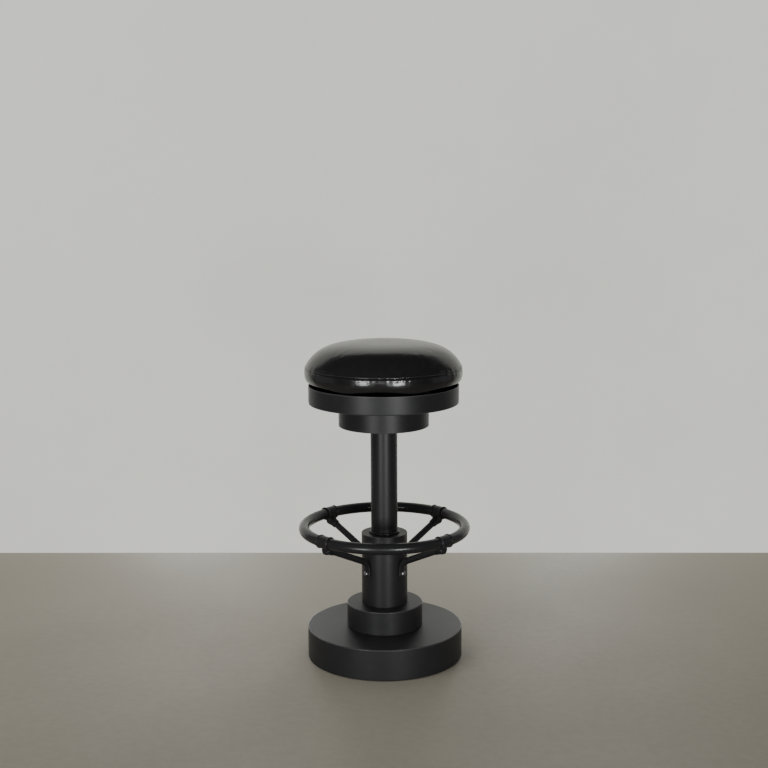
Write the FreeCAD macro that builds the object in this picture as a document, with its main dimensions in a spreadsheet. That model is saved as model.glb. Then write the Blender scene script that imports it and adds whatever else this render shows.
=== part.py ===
import FreeCAD, Part
import math
import os
from dataclasses import dataclass
from types import SimpleNamespace

import Sketcher

# Bar stool with a foot ring: weighted disc base, fixed column, swivelling round cushion.
# Millimetres. Origin at the bottom centre, +Z up. Four spokes stand on the diagonals.

SIZES = {
    # heights of the visible tiers, from the floor up
    "shell_bottom": 2.0,
    "base_top": 75.0,
    "plinth_top": 131.7,
    "hub_top": 303.0,
    "ring_height": 315.2,
    "drum_bottom": 562.1,
    "pan_bottom": 616.8,
    "pan_rim": 659.8,
    "board_bottom": 670.0,
    "seam_height": 700.0,
    "seat_top": 762.0,
    # outside radii
    "base_radius": 185.0,
    "plinth_radius": 90.4,
    "hub_radius": 54.7,
    "column_radius": 31.75,
    "drum_radius": 106.7,
    "pan_radius": 177.0,
    "cushion_radius": 185.8,
    "ring_radius": 191.25,
    "ring_tube_radius": 12.7,
    # walls and fits
    "wall": 3.0,
    "column_wall": 2.5,
    "ring_wall": 1.6,
    "leather": 1.6,
    "fit": 0.15,
    "running_fit": 0.05,
    # base internals
    "floor_ring_inner": 164.0,
    "floor_ring_outer": 178.0,
    "floor_ring_height": 4.0,
    "ballast_radius": 165.0,
    "ballast_thickness": 22.0,
    "standoff_circle": 140.0,
    "standoff_radius": 7.0,
    # tie rod that clamps the column between the ballast and the top flange
    "rod_radius": 6.0,
    "nut_height": 10.0,
    "washer_radius": 16.0,
    "flange_radius": 80.0,
    "flange_thickness": 6.0,
    # footrest spokes
    "spoke_radius": 7.8,
    "spoke_outer_reach": 179.0,
    "spoke_outer_height": 294.6,
    "spoke_bend_reach": 73.0,
    "spoke_bend_height": 245.8,
    "tab_thickness": 5.5,
    "tab_width": 18.0,
    "tab_bottom": 202.0,
    "tab_top": 238.0,
    "bolt_height": 213.0,
    "bolt_radius": 4.0,
    # tee fittings on the ring
    "tee_radius": 14.8,
    "tee_sweep": 10.2,
    "lip_radius": 16.4,
    "lip_sweep": 1.0,
    "branch_radius": 9.4,
    "branch_length": 27.0,
    # seat swivel
    "race_radius": 90.0,
    "ball_radius": 3.0,
    "plate_thickness": 4.0,
    "lower_plate_radius": 108.0,
    "upper_plate_radius": 142.0,
    "pivot_radius": 12.0,
    "board_radius": 172.0,
    "board_thickness": 12.0,
    "seat_bolt_circle": 126.0,
}

BALLS = 24
SPOKE_AZIMUTHS = {"back_right": 45, "back_left": 135, "front_left": 225, "front_right": 315}
ARC_AZIMUTHS = {"back": 45, "left": 135, "front": 225, "right": 315}

doc = FreeCAD.newDocument("bar_stool")
parts = []


def vector(x, y, z=0.0):
    return FreeCAD.Vector(x, y, z)


def as_length(value):
    return value if isinstance(value, Length) else Length(float(value), repr(float(value)))


@dataclass(frozen=True)
class Length:
    """A number together with the spreadsheet expression that drives it."""

    value: float
    text: str

    def __add__(self, other):
        other = as_length(other)
        return Length(self.value + other.value, f"({self.text} + {other.text})")

    def __sub__(self, other):
        other = as_length(other)
        return Length(self.value - other.value, f"({self.text} - {other.text})")

    def __mul__(self, other):
        other = as_length(other)
        return Length(self.value * other.value, f"({self.text} * {other.text})")

    def __truediv__(self, other):
        other = as_length(other)
        return Length(self.value / other.value, f"({self.text} / {other.text})")


def make_sheet(sizes):
    """Write the driving sizes into a spreadsheet and return them as lengths."""
    sheet = doc.addObject("Spreadsheet::Sheet", "Sizes")
    for row, (name, value) in enumerate(sizes.items(), 1):
        sheet.set(f"A{row}", name)
        sheet.set(f"B{row}", str(value))
        sheet.setAlias(f"B{row}", name)
    doc.recompute()
    return SimpleNamespace(**{name: Length(value, f"Sizes.{name}") for name, value in sizes.items()})


D = make_sheet(SIZES)


def new_body(label):
    body = doc.addObject("PartDesign::Body", label)
    body.Label = label
    body.AllowCompound = True
    parts.append(body)
    return body


def turn_about_z(item, degrees):
    item.Placement = FreeCAD.Placement(vector(0, 0), FreeCAD.Rotation(vector(0, 0, 1), degrees))


def origin_item(body, role):
    return next(item for item in body.Origin.OriginFeatures if item.Role == role)


def sketch_on(body, role, offset=None):
    """A new sketch on one of the body's origin planes, lifted by an optional offset."""
    sketch = body.newObject("Sketcher::SketchObject", body.Name + "_sketch")
    sketch.AttachmentSupport = [(origin_item(body, role), "")]
    sketch.MapMode = "FlatFace"
    if offset is not None:
        sketch.setExpression("AttachmentOffset.Base.z", offset.text)
        sketch.AttachmentOffset = FreeCAD.Placement(vector(0, 0, offset.value), FreeCAD.Rotation())
    return sketch


def pin_point(sketch, geometry, point, x, y):
    """Drive one sketch point's position from the origin with two bound constraints."""
    for kind, size in (("DistanceX", as_length(x)), ("DistanceY", as_length(y))):
        index = sketch.addConstraint(Sketcher.Constraint(kind, -1, 1, geometry, point, size.value))
        sketch.setExpression(f"Constraints[{index}]", size.text)


def draw_outline(sketch, corners):
    """Draw a closed straight-sided outline through bound corners."""
    spots = [(as_length(x), as_length(y)) for x, y in corners]
    first = sketch.GeometryCount
    count = len(spots)
    for index, (x, y) in enumerate(spots):
        next_x, next_y = spots[(index + 1) % count]
        sketch.addGeometry(Part.LineSegment(vector(x.value, y.value), vector(next_x.value, next_y.value)))
    for index in range(count):
        following = first + (index + 1) % count
        sketch.addConstraint(Sketcher.Constraint("Coincident", first + index, 2, following, 1))
    for index, (x, y) in enumerate(spots):
        pin_point(sketch, first + index, 1, x, y)


def draw_circle(sketch, x, y, radius):
    centre = vector(as_length(x).value, as_length(y).value)
    index = sketch.addGeometry(Part.Circle(centre, vector(0, 0, 1), radius.value))
    pin_point(sketch, index, 3, x, y)
    constraint = sketch.addConstraint(Sketcher.Constraint("Radius", index, radius.value))
    sketch.setExpression(f"Constraints[{constraint}]", radius.text)


def draw_axis(sketch, start, end):
    """Add a bound construction line that a revolution turns about."""
    ends = [(as_length(x), as_length(y)) for x, y in (start, end)]
    points = [vector(x.value, y.value) for x, y in ends]
    index = sketch.addGeometry(Part.LineSegment(*points), True)
    for point, (x, y) in enumerate(ends, 1):
        pin_point(sketch, index, point, x, y)


def revolve(body, sketch, axis="V_Axis", degrees=360.0, kind="Revolution"):
    doc.recompute()
    feature = body.newObject("PartDesign::" + kind, body.Name + "_" + kind.lower())
    feature.Profile = sketch
    feature.ReferenceAxis = (sketch, [axis])
    feature.Angle = degrees
    doc.recompute()
    return feature


def repeat_about_z(body, feature, count):
    pattern = body.newObject("PartDesign::PolarPattern", body.Name + "_pattern")
    pattern.Originals = [feature]
    pattern.Axis = (origin_item(body, "Z_Axis"), [""])
    pattern.Angle = 360
    pattern.Occurrences = count
    body.Tip = pattern
    doc.recompute()


def turned(label, corners):
    """A body turned about +Z from an outline of (radius, height) corners."""
    body = new_body(label)
    sketch = sketch_on(body, "XZ_Plane")
    draw_outline(sketch, corners)
    revolve(body, sketch)
    return body


def dress_edges(body, kind, amount, spots):
    """Fillet or chamfer the full-circle edges at the given (radius, height) spots."""
    base = body.Tip
    names = []
    for index, edge in enumerate(base.Shape.Edges, 1):
        if not isinstance(edge.Curve, Part.Circle):
            continue
        for radius, height in spots:
            near = abs(edge.Curve.Radius - radius.value) < 0.01
            if near and abs(edge.Curve.Center.z - height.value) < 0.01:
                names.append(f"Edge{index}")
    feature = body.newObject("PartDesign::" + kind, body.Name + "_" + kind.lower())
    feature.Base = (base, names)
    feature.setExpression("Radius" if kind == "Fillet" else "Size", amount.text)
    doc.recompute()


def drill(body, circle, radius, count, top=None, depth=None):
    """Holes along Z on a circle: right through, or down from a stated height."""
    sketch = sketch_on(body, "XY_Plane", top)
    draw_circle(sketch, circle, 0.0, radius)
    doc.recompute()
    pocket = body.newObject("PartDesign::Pocket", body.Name + "_holes")
    pocket.Profile = sketch
    if depth is None:
        pocket.Type = 1
        pocket.Midplane = True
    else:
        pocket.setExpression("Length", depth.text)
    doc.recompute()
    if count > 1:
        repeat_about_z(body, pocket, count)


def upright_group(label, circle, corners, count):
    """Separate turned solids whose own axes stand on a circle about +Z."""
    body = new_body(label)
    sketch = sketch_on(body, "XZ_Plane")
    heights = [as_length(height) for _, height in corners]
    draw_outline(sketch, [(circle + reach, height) for reach, height in corners])
    draw_axis(sketch, (circle, min(heights, key=lambda item: item.value)),
              (circle, max(heights, key=lambda item: item.value)))
    feature = revolve(body, sketch, "Axis0")
    repeat_about_z(body, feature, count)
    return body


def radial_group(label, height, corners, count=4, turn=45):
    """Separate turned solids whose own axes point outwards at one height."""
    body = new_body(label)
    sketch = sketch_on(body, "XZ_Plane")
    draw_outline(sketch, [(reach, height + radius) for reach, radius in corners])
    reaches = [as_length(reach) for reach, _ in corners]
    draw_axis(sketch, (min(reaches, key=lambda item: item.value), height),
              (max(reaches, key=lambda item: item.value), height))
    feature = revolve(body, sketch, "Axis0")
    repeat_about_z(body, feature, count)
    turn_about_z(body, turn)
    return body


def hexagons(label, circle, across_corners, hole, bottom, height, count):
    """Hexagonal nuts on a circle about +Z, or a single one on the axis."""
    body = new_body(label)
    sketch = sketch_on(body, "XY_Plane", bottom)
    corners = []
    for step in range(6):
        angle = math.radians(60 * step)
        corners.append((circle + across_corners * math.cos(angle), across_corners * math.sin(angle)))
    draw_outline(sketch, corners)
    draw_circle(sketch, circle, 0.0, hole)
    doc.recompute()
    pad = body.newObject("PartDesign::Pad", label + "_pad")
    pad.Profile = sketch
    pad.setExpression("Length", height.text)
    doc.recompute()
    if count > 1:
        repeat_about_z(body, pad, count)
    return body


def disc(label, inner, outer, bottom, top):
    return turned(label, [(inner, bottom), (outer, bottom), (outer, top), (inner, top)])


def cup(label, outer, hole, bottom, top, open_top):
    """A round pan with one closed face, which has a centre hole."""
    inner = outer - D.wall
    if open_top:
        floor = bottom + D.wall
        corners = [(hole, bottom), (outer, bottom), (outer, top), (inner, top),
                   (inner, floor), (hole, floor)]
    else:
        roof = top - D.wall
        corners = [(hole, top), (outer, top), (outer, bottom), (inner, bottom),
                   (inner, roof), (hole, roof)]
    return turned(label, corners)


# Heights that follow from the driving sizes.

shell_roof = D.base_top - D.wall
ballast_bottom = shell_roof - D.ballast_thickness
plate_bottom = D.floor_ring_height
plate_top = plate_bottom + D.wall
rod_hole = D.rod_radius + 0.4
m6 = as_length(3.0)
m8 = as_length(4.0)
hole_for_m6 = m6 + 0.25
hole_for_m8 = m8 + 0.25


def build_base():
    """Weighted disc: shell, ballast, bottom plate, standoffs, screws and floor ring."""
    floor_ring = disc("floor_ring", D.floor_ring_inner, D.floor_ring_outer, as_length(0.0), plate_bottom)
    dress_edges(floor_ring, "Chamfer", as_length(0.8), [(D.floor_ring_outer, as_length(0.0))])

    plate_edge = D.base_radius - D.wall - 0.4
    bottom_plate = disc("bottom_plate", as_length(0.0), plate_edge, plate_bottom, plate_top)
    drill(bottom_plate, D.standoff_circle, hole_for_m6, 4)

    screw_end = plate_top + 12.0
    upright_group("bottom_screws", D.standoff_circle,
                  [(0.0, plate_bottom - 2.6), (m6 * 1.8, plate_bottom - 2.6), (m6 * 1.8, plate_bottom),
                   (m6, plate_bottom), (m6, screw_end), (0.0, screw_end)], 4)

    upright_group("standoffs", D.standoff_circle,
                  [(0.0, screw_end + 1.0), (m6 + D.fit, screw_end + 1.0), (m6 + D.fit, plate_top),
                   (D.standoff_radius, plate_top), (D.standoff_radius, ballast_bottom),
                   (0.0, ballast_bottom)], 4)

    disc("ballast_weight", rod_hole, D.ballast_radius, ballast_bottom, shell_roof)

    base_shell = cup("base_shell", D.base_radius, rod_hole, D.shell_bottom, D.base_top, False)
    dress_edges(base_shell, "Chamfer", as_length(1.2), [(D.base_radius, D.base_top)])


def build_column():
    """Plinth, hub tube, column, centring rings and the tie rod through them."""
    hub_inner = D.hub_radius - D.wall
    hub_tube_top = D.hub_top - D.wall

    plinth = cup("plinth_shell", D.plinth_radius, D.hub_radius + D.fit, D.base_top, D.plinth_top, False)
    dress_edges(plinth, "Chamfer", as_length(1.0), [(D.plinth_radius, D.plinth_top)])

    hub = disc("hub_tube", hub_inner, D.hub_radius, D.base_top, hub_tube_top)
    side_holes(hub, D.bolt_height, as_length(5.6))

    spigot = hub_inner - D.fit
    collar_hole = D.column_radius + D.fit
    hub_cap = turned("hub_cap", [(collar_hole, D.hub_top), (D.hub_radius, D.hub_top),
                                 (D.hub_radius, hub_tube_top), (spigot, hub_tube_top),
                                 (spigot, hub_tube_top - 8.0), (collar_hole, hub_tube_top - 8.0)])
    dress_edges(hub_cap, "Chamfer", as_length(0.8), [(D.hub_radius, D.hub_top)])

    trim = disc("column_trim_ring", collar_hole, D.column_radius + 4.8, D.hub_top, D.hub_top + 4.6)
    dress_edges(trim, "Fillet", as_length(1.9), [(D.column_radius + 4.8, D.hub_top + 4.6)])

    foot_top = D.base_top + 8.0
    tube_inner = D.column_radius - D.column_wall
    plug = tube_inner - D.fit
    turned("column_foot", [(rod_hole, D.base_top), (spigot, D.base_top), (spigot, foot_top),
                           (plug, foot_top), (plug, foot_top + 18.0), (rod_hole, foot_top + 18.0)])

    disc("lower_centring_ring", collar_hole, spigot, foot_top + 12.0, foot_top + 30.0)
    disc("upper_centring_ring", collar_hole, spigot, hub_tube_top - 34.0, hub_tube_top - 10.0)

    flange_bottom = D.drum_bottom + D.wall
    flange_top = flange_bottom + D.flange_thickness
    disc("column", tube_inner, D.column_radius, foot_top, flange_bottom)

    flange = turned("column_top_flange", [(rod_hole, flange_top), (D.flange_radius, flange_top),
                                          (D.flange_radius, flange_bottom), (plug, flange_bottom),
                                          (plug, flange_bottom - 20.0), (rod_hole, flange_bottom - 20.0)])
    drill(flange, as_length(68.0), hole_for_m8, 4)

    lower_washer = ballast_bottom - D.wall
    upper_washer = flange_top + D.wall
    disc("tie_rod", as_length(0.0), D.rod_radius, lower_washer - D.nut_height - 4.0,
         upper_washer + D.nut_height + 4.0)
    disc("tie_rod_washer_lower", rod_hole, D.washer_radius, lower_washer, ballast_bottom)
    disc("tie_rod_washer_upper", rod_hole, D.washer_radius, flange_top, upper_washer)
    nut_hole = D.rod_radius + 0.1
    hexagons("tie_rod_nut_lower", as_length(0.0), as_length(10.9), nut_hole,
             lower_washer - D.nut_height, D.nut_height, 1)
    hexagons("tie_rod_nut_upper", as_length(0.0), as_length(10.9), nut_hole, upper_washer, D.nut_height, 1)


def side_holes(body, height, radius):
    """Four radial holes through a tube's wall, on the diagonals."""
    sketch = sketch_on(body, "YZ_Plane")
    draw_circle(sketch, 0.0, height, radius)
    doc.recompute()
    pocket = body.newObject("PartDesign::Pocket", body.Name + "_side_holes")
    pocket.Profile = sketch
    pocket.Type = 1
    doc.recompute()
    repeat_about_z(body, pocket, 4)
    turn_about_z(body, 45)


def build_drums():
    """Lower drum, riser and upper drum, bolted on top of the column flange."""
    flange_top = D.drum_bottom + D.wall + D.flange_thickness
    bolt_circle = as_length(68.0)

    lower = cup("lower_drum", D.drum_radius, D.column_radius + D.fit, D.drum_bottom, D.pan_bottom, True)
    drill(lower, bolt_circle, hole_for_m8, 4, D.drum_bottom + D.wall, D.wall - 1.0)
    dress_edges(lower, "Chamfer", as_length(0.9), [(D.drum_radius, D.drum_bottom)])

    lip = as_length(5.0)
    neck = as_length(52.0)
    riser = turned("riser", [(neck, flange_top), (D.flange_radius, flange_top),
                             (D.flange_radius, flange_top + lip), (neck + 4.0, flange_top + lip),
                             (neck + 4.0, D.pan_bottom - lip), (D.flange_radius, D.pan_bottom - lip),
                             (D.flange_radius, D.pan_bottom), (neck, D.pan_bottom)])
    drill(riser, bolt_circle, hole_for_m8, 4)

    head = as_length(6.5)
    bolt_top = flange_top + lip
    upright_group("riser_lower_bolts", bolt_circle,
                  [(0.0, D.drum_bottom + 1.5), (m8, D.drum_bottom + 1.5), (m8, bolt_top), (head, bolt_top),
                   (head, bolt_top + 5.3), (0.0, bolt_top + 5.3)], 4)

    pan_floor = D.pan_bottom + D.wall
    block_top = D.pan_rim - 0.2
    seat_of_head = D.pan_bottom - lip
    stud_top = pan_floor + 22.0
    upright_group("riser_upper_bolts", bolt_circle,
                  [(0.0, seat_of_head - 5.3), (head, seat_of_head - 5.3), (head, seat_of_head),
                   (m8, seat_of_head), (m8, stud_top), (0.0, stud_top)], 4)

    upper = cup("upper_drum", D.pan_radius, as_length(45.0), D.pan_bottom, D.pan_rim, True)
    drill(upper, bolt_circle, hole_for_m8, 4)
    dress_edges(upper, "Fillet", as_length(2.6), [(D.pan_radius, D.pan_bottom)])
    dress_edges(upper, "Fillet", as_length(1.0), [(D.pan_radius, D.pan_rim)])

    block = disc("swivel_block", as_length(45.0), D.lower_plate_radius, pan_floor, block_top)
    drill(block, bolt_circle, hole_for_m8, 4)
    drill(block, bolt_circle, as_length(9.0), 4, block_top, block_top - stud_top + 7.2)
    hexagons("riser_nuts", bolt_circle, as_length(7.5), m8 + 0.1, stud_top - 7.2, as_length(6.6), 4)


def race_groove(body, height):
    """Turn a round groove for the balls, a little wider than they are."""
    sketch = sketch_on(body, "XZ_Plane")
    draw_circle(sketch, D.race_radius, height, D.ball_radius + D.running_fit * 3)
    revolve(body, sketch, kind="Groove")


def build_swivel():
    """Flat ball swivel: lower plate, pivot, caged balls and the plate that turns with the seat."""
    lower_bottom = D.pan_rim - 0.2
    lower_top = lower_bottom + D.plate_thickness
    upper_top = D.board_bottom
    upper_bottom = upper_top - D.plate_thickness
    middle = (lower_top + upper_bottom) / 2
    bore = D.pivot_radius + D.running_fit

    lower = disc("swivel_lower_plate", bore, D.lower_plate_radius, lower_bottom, lower_top)
    race_groove(lower, middle)
    screw_circle = as_length(56.0)
    drill(lower, screw_circle, m6, 6)
    drill(lower, screw_circle, as_length(6.0), 6, lower_top, as_length(2.6))
    screw_head = lower_top - 0.3
    upright_group("swivel_screws", screw_circle,
                  [(0.0, screw_head), (5.6, screw_head), (5.6, lower_top - 2.6), (2.7, lower_top - 2.6),
                   (2.7, lower_bottom - 16.0), (0.0, lower_bottom - 16.0)], 6)
    drill(doc.getObject("swivel_block"), screw_circle, as_length(2.8), 6, lower_bottom, as_length(17.0))

    turned("swivel_pivot", [(0.0, lower_bottom - 3.0), (22.0, lower_bottom - 3.0), (22.0, lower_bottom),
                            (D.pivot_radius, lower_bottom), (D.pivot_radius, upper_top + 1.0),
                            (0.0, upper_top + 1.0)])
    disc("pivot_washer", as_length(4.2), as_length(18.0), upper_top + 1.0, upper_top + 3.0)
    disc("pivot_screw_head", as_length(0.0), as_length(7.0), upper_top + 3.0, upper_top + 6.0)

    upper = disc("swivel_upper_plate", bore, D.upper_plate_radius, upper_bottom, upper_top)
    race_groove(upper, middle)
    drill(upper, D.seat_bolt_circle, hole_for_m6, 4)

    cage = disc("ball_cage", D.race_radius - 6.0, D.race_radius + 6.0, middle - 0.7, middle + 0.7)
    drill(cage, D.race_radius, D.ball_radius + 0.1, BALLS)

    balls = new_body("bearing_balls")
    ball = balls.newObject("PartDesign::AdditiveSphere", "ball")
    ball.AttachmentSupport = [(origin_item(balls, "XY_Plane"), "")]
    ball.MapMode = "FlatFace"
    ball.setExpression("Radius", D.ball_radius.text)
    ball.setExpression("AttachmentOffset.Base.x", D.race_radius.text)
    ball.setExpression("AttachmentOffset.Base.z", middle.text)
    doc.recompute()
    repeat_about_z(balls, ball, BALLS)


def build_cushion():
    """Plywood board, bolts and nuts, foam core, leather cover and dust cover."""
    board_top = D.board_bottom + D.board_thickness
    board = disc("seat_board", as_length(24.0), D.board_radius, D.board_bottom, board_top)
    drill(board, D.seat_bolt_circle, as_length(4.4), 4)

    plate_under = D.board_bottom - D.plate_thickness
    upright_group("seat_bolts", D.seat_bolt_circle,
                  [(0.0, plate_under - 3.6), (5.6, plate_under - 3.6), (5.6, plate_under), (m6, plate_under),
                   (m6, board_top - 1.0), (0.0, board_top - 1.0)], 4)
    upright_group("tee_nuts", D.seat_bolt_circle,
                  [(m6 + 0.1, board_top - 8.5), (4.2, board_top - 8.5), (4.2, board_top), (9.5, board_top),
                   (9.5, board_top + 1.2), (m6 + 0.1, board_top + 1.2)], 4)

    skin = D.leather
    cover_edge = D.pan_radius
    knee = D.cushion_radius
    turned("leather_band", [
        (D.board_radius - 14.0, D.board_bottom - skin), (cover_edge, D.board_bottom - skin),
        (knee - 2.0, D.board_bottom + 6.0), (knee, D.board_bottom + 15.0), (knee - 0.4, D.seam_height),
        (knee - 0.4 - skin, D.seam_height), (knee - skin, D.board_bottom + 15.0),
        (knee - 2.0 - skin, D.board_bottom + 6.5), (cover_edge - skin, D.board_bottom),
        (D.board_radius - 14.0, D.board_bottom)])

    crown = [(0.0, 0.0), (60.0, 0.9), (100.0, 5.0), (132.0, 13.5),
             (155.0, 25.5), (171.0, 39.5), (181.0, 52.0)]
    outside = [(as_length(reach), D.seat_top - drop) for reach, drop in crown]
    outside.append((knee - 0.4, D.seam_height))
    inside = [(as_length(reach * 0.985), D.seat_top - drop - skin) for reach, drop in crown]
    inside.append((knee - 0.4 - skin, D.seam_height))
    inside[0] = (as_length(0.0), D.seat_top - skin)
    turned("leather_top", outside + inside[::-1])

    gap = as_length(0.4)
    foam_outside = [(reach - gap if reach.value > 0 else reach, height - gap) for reach, height in inside]
    foam_bottom = board_top + 1.6
    turned("foam_core", foam_outside + [
        (knee - skin - gap, D.board_bottom + 15.4), (D.board_radius + 3.0, foam_bottom), (0.0, foam_bottom)])

    lining_edge = D.board_radius - 15.0
    disc("dust_cover", D.upper_plate_radius + 1.0, lining_edge, D.board_bottom - 0.8, D.board_bottom)


def build_footrest():
    """Quarter tubes, tee fittings, bent spokes and their fixings."""
    half_sweep = D.tee_sweep / 2
    for name, azimuth in ARC_AZIMUTHS.items():
        arc = new_body("foot_ring_" + name)
        sketch = sketch_on(arc, "XZ_Plane")
        draw_circle(sketch, D.ring_radius, D.ring_height, D.ring_tube_radius)
        draw_circle(sketch, D.ring_radius, D.ring_height, D.ring_tube_radius - D.ring_wall)
        revolve(arc, sketch, degrees=89.4)
        turn_about_z(arc, azimuth + 0.3)

    for name, azimuth in SPOKE_AZIMUTHS.items():
        make_tee("ring_tee_" + name, azimuth, half_sweep)
        make_spoke("spoke_" + name, azimuth)

    face = D.hub_radius + D.tab_thickness
    washer = face + 1.4
    head = as_length(5.8)
    radial_group("spoke_washers", D.bolt_height,
                 [(face, D.bolt_radius + 0.2), (washer, D.bolt_radius + 0.2), (washer, 7.2), (face, 7.2)])
    radial_group("spoke_bolts", D.bolt_height,
                 [(D.hub_radius - 12.0, 0.0), (D.hub_radius - 12.0, D.bolt_radius), (washer, D.bolt_radius),
                  (washer, head), (washer + 2.2, head), (washer + 3.9, head * 0.75),
                  (washer + 4.8, head * 0.35), (washer + 4.8, 0.0)])
    bore = D.bolt_radius + 0.1
    inner = D.hub_radius - D.wall
    radial_group("rivet_nuts", D.bolt_height,
                 [(D.hub_radius - 13.0, bore), (D.hub_radius - 0.9, bore), (D.hub_radius - 0.9, 5.4),
                  (inner - 1.2, 5.4), (inner - 1.2, 7.4), (inner - 3.2, 7.4), (inner - 3.2, 5.4),
                  (D.hub_radius - 13.0, 5.4)])


def bind(item, **sizes):
    """Bind an object's properties to lengths; double underscores stand for dots."""
    for name, size in sizes.items():
        item.setExpression(name.replace("__", "."), as_length(size).text)


def ring_slice(name, tube_radius, sweep, start):
    """A solid slice of ring, centred on the ring's height, from a start angle."""
    item = doc.addObject("Part::Torus", name)
    bind(item, Radius1=D.ring_radius, Radius2=tube_radius, Angle3=sweep, Placement__Base__z=D.ring_height)
    item.Angle1 = -180
    item.Angle2 = 180
    item.Placement.Rotation = FreeCAD.Rotation(vector(0, 0, 1), start)
    return item


def spoke_direction():
    run = D.spoke_outer_reach.value - D.spoke_bend_reach.value
    rise = D.spoke_outer_height.value - D.spoke_bend_height.value
    return vector(run, 0.0, rise).normalize()


def make_tee(name, azimuth, half_sweep):
    """Ring fitting: flared sleeve over the tube ends, and a socket for the spoke."""
    edge = half_sweep.value - 1.0
    sleeve = ring_slice(name + "_sleeve", D.tee_radius, D.tee_sweep, -half_sweep.value)
    lips = [ring_slice(f"{name}_lip{index}", D.lip_radius, D.lip_sweep, start)
            for index, start in enumerate((-half_sweep.value, edge))]
    branch = doc.addObject("Part::Cone", name + "_branch")
    bind(branch, Radius1=D.branch_radius, Radius2=D.branch_radius + 3.4, Height=D.branch_length)
    socket = doc.addObject("Part::Cylinder", name + "_socket")
    bind(socket, Radius=D.spoke_radius + D.fit, Height=D.branch_length / 2 + 5.5)
    turn = FreeCAD.Rotation(vector(0, 0, 1), spoke_direction())
    spoke_end = vector(D.spoke_outer_reach.value, 0, D.spoke_outer_height.value)
    inner_end = spoke_end - spoke_direction() * (D.branch_length.value / 2)
    branch.Placement = FreeCAD.Placement(inner_end, turn)
    socket.Placement = FreeCAD.Placement(inner_end - spoke_direction() * 5.0, turn)
    whole = doc.addObject("Part::MultiFuse", name + "_whole")
    whole.Shapes = [sleeve, *lips, branch]
    bore = ring_slice(name + "_bore", D.ring_tube_radius + D.fit, as_length(20.0), -10.0)
    holes = doc.addObject("Part::MultiFuse", name + "_holes")
    holes.Shapes = [bore, socket]
    tee = doc.addObject("Part::Cut", name)
    tee.Label = name
    tee.Base = whole
    tee.Tool = holes
    turn_about_z(tee, azimuth)
    parts.append(tee)


def make_spoke(name, azimuth):
    """Round rod bent down to the hub, ending in a flattened tab that fits the tube."""
    body = new_body(name)
    start = vector(D.spoke_outer_reach.value, D.spoke_outer_height.value)
    knee = vector(D.spoke_bend_reach.value, D.spoke_bend_height.value)
    along = (knee - start).normalize()
    turn = math.acos(-along.y)
    bend = (knee.x - D.hub_radius.value - D.spoke_radius.value - 0.6) / (1 - math.cos(turn))
    centre = knee + vector(-along.y, along.x) * bend
    begin = math.atan2(knee.y - centre.y, knee.x - centre.x)
    arc = Part.ArcOfCircle(Part.Circle(centre, vector(0, 0, 1), bend), begin, begin + turn)

    path = sketch_on(body, "XZ_Plane")
    path.addGeometry(Part.LineSegment(start, knee))
    path.addGeometry(arc)
    path.addGeometry(Part.LineSegment(arc.EndPoint, vector(arc.EndPoint.x, D.tab_top.value - 12.0)))
    path.addConstraint(Sketcher.Constraint("Tangent", 0, 2, 1, 1))
    path.addConstraint(Sketcher.Constraint("Tangent", 1, 2, 2, 1))
    path.addConstraint(Sketcher.Constraint("Vertical", 2))
    pin_point(path, 0, 1, D.spoke_outer_reach, D.spoke_outer_height)
    pin_point(path, 0, 2, D.spoke_bend_reach, D.spoke_bend_height)
    pin_point(path, 2, 2, D.hub_radius + D.spoke_radius + 0.6, D.tab_top - 12.0)
    doc.recompute()

    section = body.newObject("Sketcher::SketchObject", name + "_section")
    section.AttachmentSupport = [(path, "Edge1")]
    section.MapMode = "NormalToEdge"
    draw_circle(section, 0.0, 0.0, D.spoke_radius)
    doc.recompute()
    pipe = body.newObject("PartDesign::AdditivePipe", name + "_pipe")
    pipe.Profile = section
    pipe.Spine = (path, ["Edge1", "Edge2", "Edge3"])
    doc.recompute()

    half = D.tab_width / 2
    face = sketch_on(body, "YZ_Plane", D.hub_radius - 2.0)
    steps = [(0.5, D.tab_bottom), (0.86, D.tab_bottom + 2.5), (1.0, D.tab_bottom + 7.0),
             (1.0, D.tab_top - 10.0), (0.7, D.tab_top)]
    right_side = [(half * share, height) for share, height in steps]
    left_side = [(half * -share, height) for share, height in reversed(steps)]
    draw_outline(face, right_side + left_side)
    doc.recompute()
    tab = body.newObject("PartDesign::Pad", name + "_tab")
    tab.Profile = face
    tab.setExpression("Length", (D.tab_thickness + 2.0).text)
    doc.recompute()

    clearance = sketch_on(body, "XZ_Plane")
    draw_outline(clearance, [(40.0, D.tab_bottom - 10.0), (D.hub_radius, D.tab_bottom - 10.0),
                             (D.hub_radius, D.tab_top + 30.0), (40.0, D.tab_top + 30.0)])
    revolve(body, clearance, kind="Groove")

    hole = sketch_on(body, "YZ_Plane", D.hub_radius + 20.0)
    draw_circle(hole, 0.0, D.bolt_height, D.bolt_radius + 0.3)
    doc.recompute()
    pocket = body.newObject("PartDesign::Pocket", name + "_bolt_hole")
    pocket.Profile = hole
    pocket.Length = 30
    doc.recompute()
    turn_about_z(body, azimuth)


def export_parts():
    """Check every object and part, then write one file per part."""
    doc.recompute()
    for item in doc.Objects:
        if "Invalid" in item.State or "Error" in item.State:
            raise RuntimeError(f"{item.Label}: {item.State}")
    os.makedirs("parts", exist_ok=True)
    for part in parts:
        shape = part.Shape
        if shape.isNull() or not shape.isValid() or not shape.Solids:
            raise RuntimeError(f"{part.Label}: bad shape")
        shape.exportStep(f"parts/{part.Label}.step")
        box = shape.BoundBox
        print(f"{part.Label:28s} {len(shape.Solids):3d} solids {shape.Volume / 1000:9.2f} cm3 "
              f"z {box.ZMin:7.2f} to {box.ZMax:7.2f} x {box.XMin:7.1f} to {box.XMax:7.1f}")
    print(len(parts), "parts")


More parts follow.
